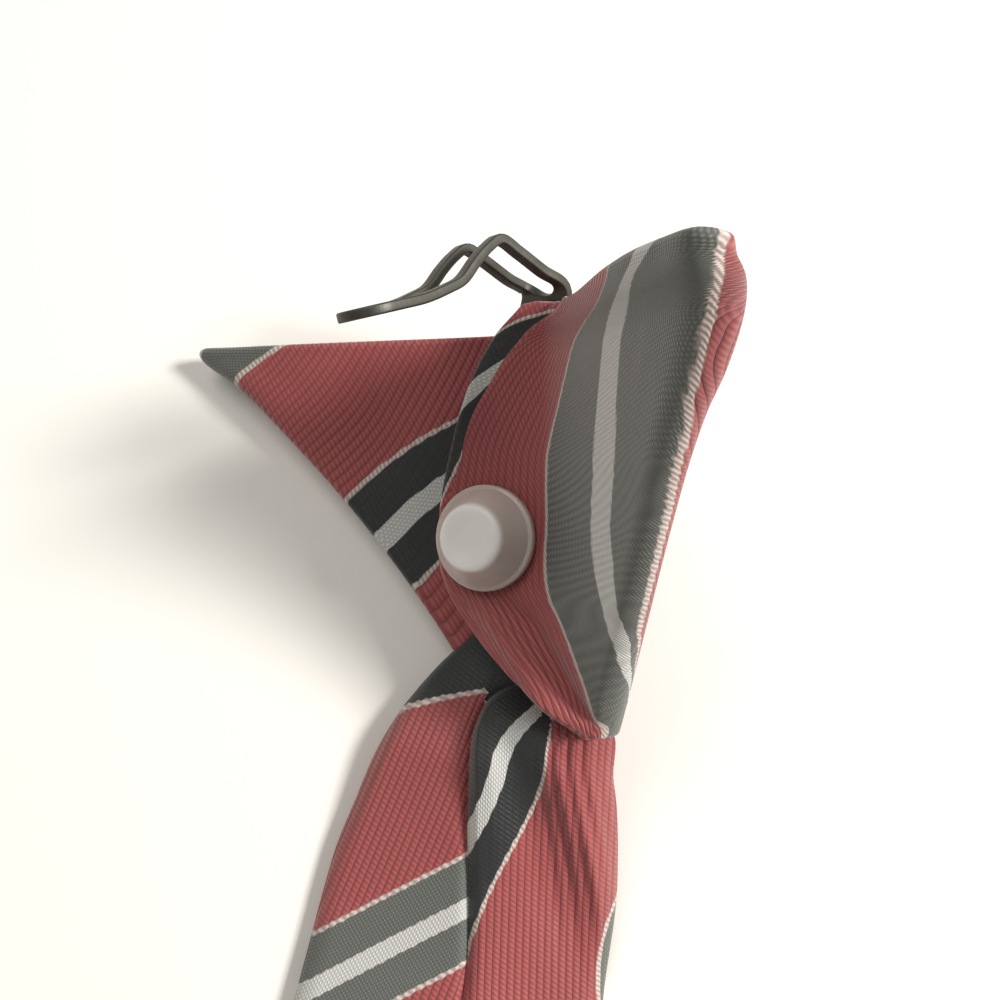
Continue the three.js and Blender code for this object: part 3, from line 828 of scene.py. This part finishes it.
def across_shares(seam):
    """Shares across the blade from -1 to 1, with a column on the seam."""
    left = -1 + (seam + 1) * denser(LEFT_COLUMNS)
    right = seam + (1 - seam) * denser(RIGHT_COLUMNS)
    return np.concatenate([left, right[1:]])


def neck_ring(rise):
    """The lower and the upper row of points of the neck at a share of the knot's height."""
    level = knot_level(rise)
    start, end, _, _ = neck_faces(level, 0.0)
    w = mix(start, end, (across_shares(NECK_SEAM) + 1) / 2)
    u = up_at(level, w) + 6 * smooth((-w - 2) / 6) * clamp01(1 - rise / 0.2)
    _, _, low, high = neck_faces(level, w)
    return [from_knot(np.stack([w, u, n], axis=1)) for n in (low, high)]


def blade_ring(run):
    """The lower and the upper row of points of the blade at a distance below the knot."""
    row = row_at(BLADE_ROWS, "run", min(run, BLADE_ROWS["run"][-1]))
    row = {name: float(value) for name, value in row.items()}
    end_run = BLADE_ROWS["run"][-1]
    end_half = BLADE_ROWS["half"][-1] * BLADE_TOP_WIDTH
    widest = mix(end_half, BLADE_WIDTH / 2, (run - end_run) / (POINT_START - end_run))
    to_point = BLADE_LENGTH - run + POINT_ROUND
    half = min(widest if run > end_run else row["half"] * BLADE_TOP_WIDTH, to_point)
    centre = row["shift"] * BLADE_TOP_WIDTH
    roll = math.radians(row["roll"])
    seam = row["seam"] * to_point / (BLADE_WIDTH / 2) if run > POINT_START else row["seam"]
    thin = min(1, 0.35 + to_point / 12)
    left_height = row["left"] * FLAP_THICKNESS * thin
    right_height = row["right"] * FLAP_THICKNESS * thin
    edge_radius = min(BLADE_EDGE_RADIUS, half / 2)

    p = across_shares(seam / half) * half
    on_right = np.arange(len(p)) > SEAM_COLUMN
    from_edge = clamp01((half - np.abs(p)) / edge_radius)
    round_off = quarter_round(from_edge)
    from_seam = clamp01(np.abs(p - seam) / (1.4 * SEAM_GROOVE_DEPTH))
    groove = SEAM_GROOVE_DEPTH * thin * (1 - quarter_round(from_seam))
    puff = np.where(on_right, np.sin(math.pi * (p - seam) / (half - seam)), 0)
    raised = mix(left_height, right_height, clamp01(from_seam * 0.6 + puff * 0.7))
    height = np.where(on_right, raised, left_height)
    edge = EDGE_SHARE * left_height
    low = edge * (1 - round_off)
    high = mix(edge, height - groove, round_off)

    near_top = smooth((27 - run) / 14)
    fan = (p - 2.5) / (1 + 0.012 * run) - 0.16 * run
    gathers = GATHER_HEIGHT * np.sin(2 * math.pi * fan / GATHER_SPACING) * near_top
    gathers = gathers * smooth((p - 4 - 0.12 * run) / 4) * smooth((half - p) / 2)
    high = high + np.where(on_right, gathers, 0)
    on_fold = smooth((run + 2) / 6) * smooth((30 - run) / 12)
    ridge = SOFT_FOLD_RIDGE * bell((p - 5.5 - 0.55 * run) / 2.4)
    soft_fold = ridge - SOFT_FOLD_GROOVE * bell((p - 0.5 - 0.5 * run) / 3)
    roof = ROOF * (1 - np.abs(p - seam) / (half + np.abs(seam))) * thin
    high = high + (soft_fold * on_fold * on_right + roof * smooth((run + 1) / 8)) * smooth(from_edge)

    def turned(h):
        x = centre + p * math.cos(roll) - h * math.sin(roll)
        return x, p * math.sin(roll) + h * math.cos(roll)

    floor = turned(low)[1].min()
    rings = []
    for h in (low, high):
        x, z = turned(h)
        near_knot = smooth((3.5 - run) / 4.5)
        shoulder = LEFT_SHOULDER * bell((x + 4.6) / 2.9) + RIGHT_SHOULDER * smooth((x - 6) / 6)
        y = KNOT_FOOT - run - row["skew"] * p / half + shoulder * near_knot
        rings.append(np.stack([x, y, z - floor + max(row["lift"], 0)], axis=1))
    return rings


def make_blade():
    """The neck and the blade as one closed piece, ring by ring down to the point."""
    neck = [neck_ring(rise) for rise in np.linspace(NECK_TOP_RISE, 0, NECK_RINGS)]
    near = np.arange(0, NEAR_END, NEAR_STEP)
    far = np.linspace(NEAR_END, POINT_START, FAR_RINGS)
    point = POINT_START + BLADE_WIDTH / 2 * (1 - (1 - even(POINT_RINGS)[1:]) ** 1.4)
    runs = np.concatenate([[-0.8, -0.4], near, far, point])
    rings = np.array(neck + [blade_ring(run) for run in runs])
    low, high = rings[:, 0], rings[:, 1]
    for face in (low, high):
        relax(face, len(neck) - 4, len(neck) + 4, 8)

    x_high, y_high = high[..., 0], high[..., 1]
    shift = low[..., 0] - low[:, :1, 0]
    edge_stripe, edge_rib = blade_left_pattern(low[:, :1, 0], low[:, :1, 1])
    low_looks = [[edge_stripe - 0.75 * shift], [edge_rib - 1.2 * shift], [low[..., 1]]]
    left = (*blade_left_pattern(x_high, y_high), y_high)
    right = (*blade_right_pattern(x_high, y_high), y_high)
    high_looks = [[a[:, : SEAM_COLUMN + 1], b[:, SEAM_COLUMN:]] for a, b in zip(left, right)]
    return sheet_object("blade_cloth_piece", to_scene(low), to_scene(high), low_looks, high_looks)


# Clip
ANCHOR_RISES = (0.985, 0.92, 0.82, 0.7, 0.57, BUTTON_RISE, BUTTON_RISE - 0.08)
CURVE_STEPS = 60
SLICE = 0.4
SLOT_START = 0.24
SLOT_END_MARGIN = 0.6
HOLE_HALF = 1.55


def wrap_spot(rise):
    """A spot on the wrapped layer, the way across it, and the way it faces."""
    rise = np.asarray(rise, float)
    w = BUTTON_W * np.minimum(1, (1 - rise) / (1 - BUTTON_RISE))

    def at(level, x):
        return np.stack(on_layer(level, x), axis=-1)

    level = knot_level(rise)
    across = unit(at(level, w + 2.5) - at(level, w - 2.5))
    upward = unit(at(knot_level(rise + 0.01), w) - at(knot_level(rise - 0.01), w))
    return at(level, w), across, unit(np.cross(across, upward))


PLATE_DROP = CLOTH_WALL / 2 + PIECE_GAP + CLIP_THICKNESS / 2


def clip_path():
    """Closely spaced points on the clip's middle line, with their distance from its tip."""
    anchors = [(0, u * (CLIP_RISE if u > 0 else CLIP_DIP), n * CLIP_REACH) for u, n in CLIP_BENDS]
    for rise in ANCHOR_RISES:
        point, _, out = wrap_spot(rise)
        extra = max(0.6 * PIECE_GAP * (rise - BUTTON_RISE) / (1 - BUTTON_RISE), 0)
        anchors.append(tuple(point - out * (PLATE_DROP + extra)))
    p = np.array(anchors)
    p = np.vstack([2 * p[0] - p[1], p, 2 * p[-1] - p[-2]])
    t = np.linspace(0, 1, CURVE_STEPS, endpoint=False)[:, None]
    pieces = []
    for k in range(1, len(p) - 2):
        d0, d1, d2 = (np.linalg.norm(p[k + d + 1] - p[k + d]) ** 0.5 for d in (-1, 0, 1))
        slope_a = ((p[k] - p[k - 1]) / d0 - (p[k + 1] - p[k - 1]) / (d0 + d1)) * d1 + p[k + 1] - p[k]
        slope_b = p[k + 1] - p[k] + ((p[k + 2] - p[k + 1]) / d2 - (p[k + 2] - p[k]) / (d1 + d2)) * d1
        pieces.append(hermite(t, p[k], slope_a, p[k + 1], slope_b))
    line = np.vstack(pieces + [p[-2:-1]])
    length = np.concatenate([[0], np.cumsum(np.linalg.norm(np.diff(line, axis=0), axis=1))])
    return line, length


def flat_outline(width, start, end, count=24):
    """A flat strip's outline with round ends, as points."""
    radius = width / 2
    points = []
    for centre, first in ((end - radius, 0), (start + radius, math.pi)):
        for k in range(count + 1):
            a = first + math.pi * k / count
            points.append((radius * math.cos(a), centre + radius * math.sin(a)))
    return points


def make_clip():
    """A flat strip with its slot and hole, cut across into slices and bent along the clip's path."""
    line, length = clip_path()

    def nearest(point):
        return length[np.argmin(np.linalg.norm(line - point, axis=1))]

    root_at = nearest(np.array([0, 0, 0.5]))
    spot, _, out = wrap_spot(BUTTON_RISE)
    hole_at = nearest(spot - out * PLATE_DROP)

    curve = bpy.data.curves.new("clip_outline", "CURVE")
    curve.dimensions = "2D"
    curve.fill_mode = "BOTH"
    curve.extrude = CLIP_THICKNESS / 2 - CLIP_EDGE
    curve.bevel_depth = CLIP_EDGE
    curve.bevel_resolution = 3
    curve.offset = -CLIP_EDGE
    end = hole_at + CLIP_HOLE_MARGIN
    hole = flat_outline(2 * (POST_RADIUS + POST_CLEARANCE), -HOLE_HALF, HOLE_HALF)
    for points in (
        flat_outline(CLIP_WIDTH, 0, end),
        flat_outline(CLIP_WIDTH - 2 * CLIP_RAIL_WIDTH, SLOT_START * root_at, root_at - SLOT_END_MARGIN),
        [(x, y + hole_at) for x, y in hole],
    ):
        spline = curve.splines.new("POLY")
        spline.points.add(len(points) - 1)
        spline.points.foreach_set("co", [c for x, y in points for c in (x, y, 0, 1)])
        spline.use_cyclic_u = True
    outline = add_object("clip_outline", curve)
    bpy.context.view_layer.update()
    solid = bpy.data.meshes.new_from_object(outline.evaluated_get(bpy.context.evaluated_depsgraph_get()))
    bpy.data.objects.remove(outline)

    bm = bmesh.new()
    bm.from_mesh(solid)
    bpy.data.meshes.remove(solid)
    bmesh.ops.remove_doubles(bm, verts=bm.verts, dist=0.002)
    for y in np.arange(SLICE, end, SLICE):
        everything = bm.verts[:] + bm.edges[:] + bm.faces[:]
        bmesh.ops.bisect_plane(bm, geom=everything, plane_co=(0, y, 0), plane_no=(0, 1, 0))
    for face in bm.faces:
        face.smooth = True
    mesh = bpy.data.meshes.new("clip_steel_piece")
    bm.to_mesh(mesh)
    bm.free()

    flat = np.empty(len(mesh.vertices) * 3)
    mesh.vertices.foreach_get("co", flat)
    flat = flat.reshape(-1, 3)
    at = np.maximum(flat[:, 1], TONGUE_FLAT)
    point, ahead, behind = (
        np.stack([np.interp(at + d, length, line[:, k]) for k in range(3)], axis=1)
        for d in (0, 0.15, -0.15)
    )
    along = unit(ahead - behind)
    share = clamp01((flat[:, 1] - root_at) / (hole_at - root_at))
    _, across, _ = wrap_spot(np.minimum(mix(1, BUTTON_RISE, share), 0.98))
    level = clamp01(1 - 9 * share)[:, None]
    across = unit(mix(across, np.array([1.0, 0, 0]), level))
    across = unit(across - along * (across * along).sum(axis=1, keepdims=True))
    out = np.cross(across, along)
    bent = point + along * (flat[:, 1:2] - at[:, None]) + across * flat[:, :1] + out * flat[:, 2:]
    mesh.vertices.foreach_set("co", to_scene(from_knot(bent)).reshape(-1))
    add_uv(mesh, "along", at_corners(mesh, flat[:, :2]))
    mesh.update()
    return add_object("clip_steel_piece", mesh)


# Button
BUTTON_SIDES = 96
RIDGE_HEIGHT = 0.09
RIDGE_SIDE = 12


def rounded_profile(corners, steps=5):
    """A profile of radius and height points whose corners are rounded off by their own radius."""
    points = []
    for k, (r, z, round_by) in enumerate(corners):
        here = np.array([r, z], float)
        if round_by == 0:
            points.append(tuple(here))
            continue
        before = np.array(corners[k - 1][:2], float)
        after = np.array(corners[k + 1][:2], float)
        start = here + unit(before - here) * round_by
        end = here + unit(after - here) * round_by
        for t in np.linspace(0, 1, steps):
            points.append(tuple((1 - t) ** 2 * start + 2 * t * (1 - t) * here + t * t * end))
    return points


def make_button():
    """A turned body from its post to its crown, with one fine moulding ridge down the skirt."""
    spot, across, out = wrap_spot(BUTTON_RISE)
    seat = spot + out * (CLOTH_WALL / 2 + 1.3 * PIECE_GAP)
    turn = Vector((0, 0, 1)).rotation_difference(Vector(out.tolist())).to_matrix()
    profile = rounded_profile([
        (0, -POST_LENGTH, 0),
        (POST_RADIUS, -POST_LENGTH, 0.25),
        (POST_RADIUS, 0, 0.1),
        (BUTTON_RADIUS, 0, 0.2),
        (BUTTON_RADIUS, BUTTON_BRIM, 0.25),
        (BUTTON_RADIUS - 0.45, BUTTON_BRIM + 0.12, 0.12),
        (CROWN_RADIUS + 0.1, BUTTON_HEIGHT, 0.7),
        (CROWN_RADIUS * 0.55, BUTTON_HEIGHT - 0.12, 0.5),
        (0, BUTTON_HEIGHT - 0.16, 0),
    ])
    points, faces = [], []
    for r, z in profile[1:-1]:
        on_skirt = smooth((z - BUTTON_BRIM - 0.3) / 0.3) * smooth((BUTTON_HEIGHT - 0.3 - z) / 0.3)
        for k in range(BUTTON_SIDES):
            a = 2 * math.pi * k / BUTTON_SIDES
            ridge = RIDGE_HEIGHT * on_skirt * bell((k - RIDGE_SIDE) / 1.1)
            points.append(((r + ridge) * math.cos(a), (r + ridge) * math.sin(a), z))
    bottom, top = len(points), len(points) + 1
    top_ring = bottom - BUTTON_SIDES
    points += [(0, 0, profile[0][1]), (0, 0, profile[-1][1])]
    sides = [(k, (k + 1) % BUTTON_SIDES) for k in range(BUTTON_SIDES)]
    for ring in range(0, top_ring, BUTTON_SIDES):
        above = ring + BUTTON_SIDES
        faces += [(ring + k, ring + following, above + following, above + k) for k, following in sides]
    for k, following in sides:
        faces.append((bottom, following, k))
        faces.append((top, top_ring + k, top_ring + following))
    points = np.array(points)
    placed = points @ np.array(turn).T + seat
    mesh = smooth_mesh("button_plastic_piece", to_scene(from_knot(placed)), faces)
    profile_uv = np.stack([np.hypot(points[:, 0], points[:, 1]), points[:, 2]], axis=1)
    add_uv(mesh, "profile", at_corners(mesh, profile_uv))
    mesh.update()
    return add_object("button_plastic_piece", mesh)


# Materials
STRIPE_SOFTNESS, CORD_SOFTNESS = 0.09, 0.12
STRIPE_STEP, STRIPE_WOBBLE = 0.12, 0.2
TWISTS = 1.9
PICKS = 2.1
WARPS = 3.0
WEAVE_DEPTH = 0.00013
FINE_DEPTH = 0.00003
SCRATCH_DEPTH = 0.00004


class Shading:
    """Short ways to add shader nodes to one material."""

    def __init__(self, name):
        self.material = bpy.data.materials.new(name)
        self.material.use_nodes = True
        self.nodes = self.material.node_tree.nodes
        self.links = self.material.node_tree.links
        self.shader = self.nodes["Principled BSDF"]
        self.place = self.add("ShaderNodeTexCoord").outputs["Object"]

    def add(self, kind, **settings):
        node = self.nodes.new(kind)
        for name, value in settings.items():
            setattr(node, name, value)
        return node

    def put(self, socket, value):
        if isinstance(value, bpy.types.NodeSocket):
            self.links.new(value, socket)
        else:
            socket.default_value = value

    def uv(self, label):
        return self.add("ShaderNodeUVMap", uv_map=label).outputs[0]

    def split_uv(self, label):
        """The two coordinates of a UV map."""
        node = self.add("ShaderNodeSeparateXYZ")
        self.put(node.inputs[0], self.uv(label))
        return node.outputs[0], node.outputs[1]

    def math(self, operation, *values):
        node = self.add("ShaderNodeMath", operation=operation)
        for socket, value in zip(node.inputs, values):
            self.put(socket, value)
        return node.outputs[0]

    def step(self, value, edge, softness):
        node = self.add("ShaderNodeMapRange", interpolation_type="SMOOTHSTEP")
        self.put(node.inputs["Value"], value)
        self.put(node.inputs["From Min"], edge - softness)
        self.put(node.inputs["From Max"], edge + softness)
        return node.outputs["Result"]

    def wave(self, value):
        """A sine of period 1 between 0 and 1."""
        turns = self.math("MULTIPLY", value, 2 * math.pi)
        return self.math("MULTIPLY_ADD", self.math("SINE", turns), 0.5, 0.5)

    def blend(self, share, a, b):
        node = self.add("ShaderNodeMix", data_type="RGBA")
        self.put(node.inputs[0], share)
        self.put(node.inputs[6], a)
        self.put(node.inputs[7], b)
        return node.outputs[2]

    def blend_values(self, share, a, b):
        node = self.add("ShaderNodeMix", data_type="FLOAT")
        self.put(node.inputs[0], share)
        self.put(node.inputs[2], a)
        self.put(node.inputs[3], b)
        return node.outputs[0]

    def noise(self, scale, detail, vector=None):
        node = self.add("ShaderNodeTexNoise")
        self.put(node.inputs["Vector"], self.place if vector is None else vector)
        self.put(node.inputs["Scale"], scale)
        self.put(node.inputs["Detail"], detail)
        return node.outputs[0]

    def bump(self, height, distance, strength, normal=None):
        node = self.add("ShaderNodeBump")
        self.put(node.inputs["Height"], height)
        self.put(node.inputs["Distance"], distance)
        self.put(node.inputs["Strength"], strength)
        if normal is not None:
            self.put(node.inputs["Normal"], normal)
        return node.outputs["Normal"]

    def finish(self, **sockets):
        for name, value in sockets.items():
            self.put(self.shader.inputs[name.replace("_", " ")], value)
        return self.material


def linear(r, g, b):
    """A display colour of 0 to 255 as a linear one."""
    out = []
    for c in (r, g, b):
        c = c / 255
        out.append(c / 12.92 if c <= 0.04045 else ((c + 0.055) / 1.055) ** 2.4)
    return (*out, 1.0)


def cloth_material():
    s = Shading("striped_rep_cloth")
    stripe, rib = s.split_uv("stripes")
    along, _ = s.split_uv("along")

    # Ribs make the stripe borders step; the threads make them uneven.
    uneven = s.math("MULTIPLY_ADD", s.noise(900.0, 3.0), STRIPE_WOBBLE, stripe)
    stepped = s.math("MULTIPLY_ADD", s.wave(rib), STRIPE_STEP, uneven)
    shifted = s.math("ADD", stepped, (GROUP_SPACING - STRIPE_STEP - STRIPE_WOBBLE) / 2)
    in_group = s.math("SUBTRACT", s.math("FLOORED_MODULO", shifted, GROUP_SPACING), GROUP_SPACING / 2)
    away = s.math("ABSOLUTE", in_group)
    which = s.math("FLOORED_MODULO", s.math("FLOOR", s.math("DIVIDE", shifted, GROUP_SPACING)), 2.0)

    past_white = s.step(away, WHITE_HALF, STRIPE_SOFTNESS)
    past_dark = s.step(away, DARK_HALF, STRIPE_SOFTNESS)
    past_cord = s.step(away, CORD_HALF, CORD_SOFTNESS)

    # Ribs of the red ground: rounded ridges of twisted thread
    ridge = s.math("ABSOLUTE", s.math("SINE", s.math("MULTIPLY", rib, math.pi)))
    ridge = s.math("POWER", ridge, 0.6)
    turned = s.math("MULTIPLY", along, TWISTS)
    twist = s.wave(s.math("MULTIPLY_ADD", rib, 0.75, turned))
    thread = s.math("MULTIPLY", twist, ridge)
    red_height = s.math("MULTIPLY_ADD", thread, 0.12, ridge)

    # Basket weave of the grey and white bands
    warp_count = s.math("FLOOR", s.math("MULTIPLY", rib, WARPS))
    odd = s.math("MULTIPLY", s.math("FLOORED_MODULO", warp_count, 2.0), 0.5)
    pick = s.wave(s.math("MULTIPLY_ADD", along, PICKS, odd))
    warp = s.math("ABSOLUTE", s.math("SINE", s.math("MULTIPLY", rib, WARPS * math.pi)))
    basket = s.math("MULTIPLY", pick, warp)

    # Twisted cord between the dark bands and the red ground
    off_middle = s.math("ABSOLUTE", s.math("SUBTRACT", away, CORD_MIDDLE))
    cord_round = s.math("MAXIMUM", s.math("MULTIPLY_ADD", off_middle, -2.0, 1.0), 0.0)
    cord_turn = s.wave(s.math("MULTIPLY_ADD", in_group, 0.9, turned))
    cord = s.math("MULTIPLY", s.math("POWER", cord_round, 0.5), s.math("MULTIPLY_ADD", cord_turn, 0.6, 0.4))

    broad = s.noise(60.0, 3.0)
    fine = s.noise(2400.0, 2.0)
    red_low, red_high = linear(116, 52, 52), linear(180, 90, 88)
    # The red is painted darker in the grooves between the ribs and between the turns of their thread, and
    # lighter on the crests. This is painted shade of the ribs, with broad random tone on top.
    rib_shade_and_tone = s.math("MULTIPLY_ADD", thread, 0.58, s.math("MULTIPLY", broad, 0.4))
    red = s.blend(rib_shade_and_tone, red_low, red_high)
    black = s.blend(s.math("MULTIPLY", fine, 0.6), linear(30, 32, 32), linear(52, 54, 53))
    # The grey and white bands are painted darker in the hollows of the basket weave, and the cream cord
    # darker between the turns of its twist. This is painted shade that follows the relief, over the real
    # weave and twist pattern.
    grey = s.blend(basket, linear(84, 86, 81), linear(108, 110, 104))
    white = s.blend(basket, linear(176, 175, 170), linear(212, 210, 205))
    cream = s.blend(cord_turn, linear(158, 142, 134), linear(206, 192, 184))
    dark = s.blend(which, black, grey)
    colour = s.blend(past_white, white, dark)
    colour = s.blend(past_dark, colour, cream)
    colour = s.blend(past_cord, colour, red)

    black_height = s.math("MULTIPLY_ADD", thread, 0.3, 0.5)
    weave = s.blend_values(which, black_height, s.math("MULTIPLY_ADD", basket, 0.5, 0.4))
    height = s.blend_values(past_white, s.math("MULTIPLY_ADD", basket, 0.6, 0.5), weave)
    height = s.blend_values(past_dark, height, s.math("MULTIPLY_ADD", cord, 0.8, 0.5))
    height = s.blend_values(past_cord, height, red_height)
    normal = s.bump(fine, FINE_DEPTH, 0.6, s.bump(height, WEAVE_DEPTH, 0.85))
    roughness = s.math("MULTIPLY_ADD", thread, -0.12, 0.62)
    return s.finish(
        Base_Color=colour, Roughness=roughness, Normal=normal,
        Sheen_Weight=0.3, Sheen_Roughness=0.45, Specular_IOR_Level=0.4,
    )


def steel_material():
    s = Shading("dark_satin_steel")
    stretched = s.add("ShaderNodeMapping")
    s.put(stretched.inputs["Vector"], s.uv("along"))
    s.put(stretched.inputs["Scale"], (6.0, 0.5, 1.0))
    brushed = s.noise(5.0, 4.0, stretched.outputs[0])
    worn = s.noise(420.0, 4.0)
    colour = s.blend(worn, linear(68, 67, 62), linear(98, 96, 90))
    roughness = s.math("MULTIPLY_ADD", worn, 0.2, 0.4)
    normal = s.bump(brushed, SCRATCH_DEPTH, 0.35)
    return s.finish(Base_Color=colour, Roughness=roughness, Normal=normal, Metallic=0.9)


def plastic_material():
    s = Shading("milky_plastic")
    cloudy = s.noise(260.0, 3.0)
    from_axis, _ = s.split_uv("profile")
    # The crown is painted lighter and the skirt darker, though the button is one milky plastic. This is
    # painted light on the top face and painted shade on the sloping sides.
    on_skirt = s.step(from_axis, CROWN_RADIUS + 0.25, 0.3)
    crown = s.blend(cloudy, linear(236, 234, 229), linear(246, 244, 240))
    skirt = s.blend(cloudy, linear(188, 172, 164), linear(208, 194, 186))
    colour = s.blend(on_skirt, crown, skirt)
    roughness = s.math("MULTIPLY_ADD", cloudy, 0.14, 0.26)
    normal = s.bump(s.noise(1600.0, 2.0), FINE_DEPTH, 0.3)
    return s.finish(
        Base_Color=colour, Roughness=roughness, Normal=normal,
        Subsurface_Weight=0.4, Subsurface_Scale=0.002, Transmission_Weight=0.1, IOR=1.49,
    )


def floor_material():
    s = Shading("pale_floor")
    colour = s.blend(s.noise(3.0, 2.0), linear(232, 228, 221), linear(240, 237, 231))
    return s.finish(Base_Color=colour, Roughness=0.6)


def dress(piece, material, node):
    piece.data.materials.append(material)
    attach(piece, "root")
    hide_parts(node)


# Camera: where it stands, the way its back faces, and roughly the way its right side faces
CAMERA_PLACE = (0.002767, 0.182155, 0.1278)
CAMERA_BACK = (0.0367, -0.2081, 0.9774)
CAMERA_RIGHT = (0.985, 0.174, 0)
LENS, SENSOR, CLIP_START = 38.59, 36, 0.005

camera_data = bpy.data.cameras.new("camera")
camera_data.lens = LENS
camera_data.sensor_width = SENSOR
camera_data.clip_start = CLIP_START
camera = add_object("camera", camera_data)
back, right = Vector(CAMERA_BACK).normalized(), Vector(CAMERA_RIGHT)
right = (right - back * right.dot(back)).normalized()
turn = Matrix((right, back.cross(right), back)).transposed().to_4x4()
camera.matrix_world = Matrix.Translation(CAMERA_PLACE) @ turn
bpy.context.scene.camera = camera

# Pieces
cloth = cloth_material()
knot_piece = make_knot()
dress(knot_piece, cloth, "knot_band")
blade_piece = make_blade()
dress(blade_piece, cloth, "blade")
dress(make_clip(), steel_material(), "clip")
dress(make_button(), plastic_material(), "button")

# Floor, just under the part
FLOOR_HALF = 3
FLOOR_GAP = 0.0002

floor_corners = [(x * FLOOR_HALF, y * FLOOR_HALF, 0) for x, y in ((-1, -1), (1, -1), (1, 1), (-1, 1))]
floor_mesh = bpy.data.meshes.new("floor")
floor_mesh.from_pydata(floor_corners, [], [(0, 1, 2, 3)])
floor_mesh.materials.append(floor_material())
floor = add_object("floor", floor_mesh)
floor.location.z = -FLOOR_GAP

# Light: each area light's place, target, size and power
LIGHT_COLOUR = (1, 0.985, 0.96)
WORLD_STRENGTH = 0.29
AREA_LIGHTS = (
    ("window", (0.51, 0.33, 0.53), (0, 0.18, 0), 0.16, 7.0),
    ("fill", (-0.3, 0.5, 0.65), (0, 0.18, 0.02), 0.4, 1.9),
)

for name, place, target, size, power in AREA_LIGHTS:
    data = bpy.data.lights.new(name, "AREA")
    data.size = size
    data.energy = power
    data.color = LIGHT_COLOUR
    light = add_object(name, data)
    light.location = place
    light.rotation_euler = (Vector(target) - Vector(place)).to_track_quat("-Z", "Y").to_euler()

world = bpy.data.worlds.new("studio")
world.use_nodes = True
background = world.node_tree.nodes["Background"]
background.inputs["Color"].default_value = (*LIGHT_COLOUR, 1)
background.inputs["Strength"].default_value = WORLD_STRENGTH
bpy.context.scene.world = world
bpy.context.scene.view_settings.view_transform = "Standard"
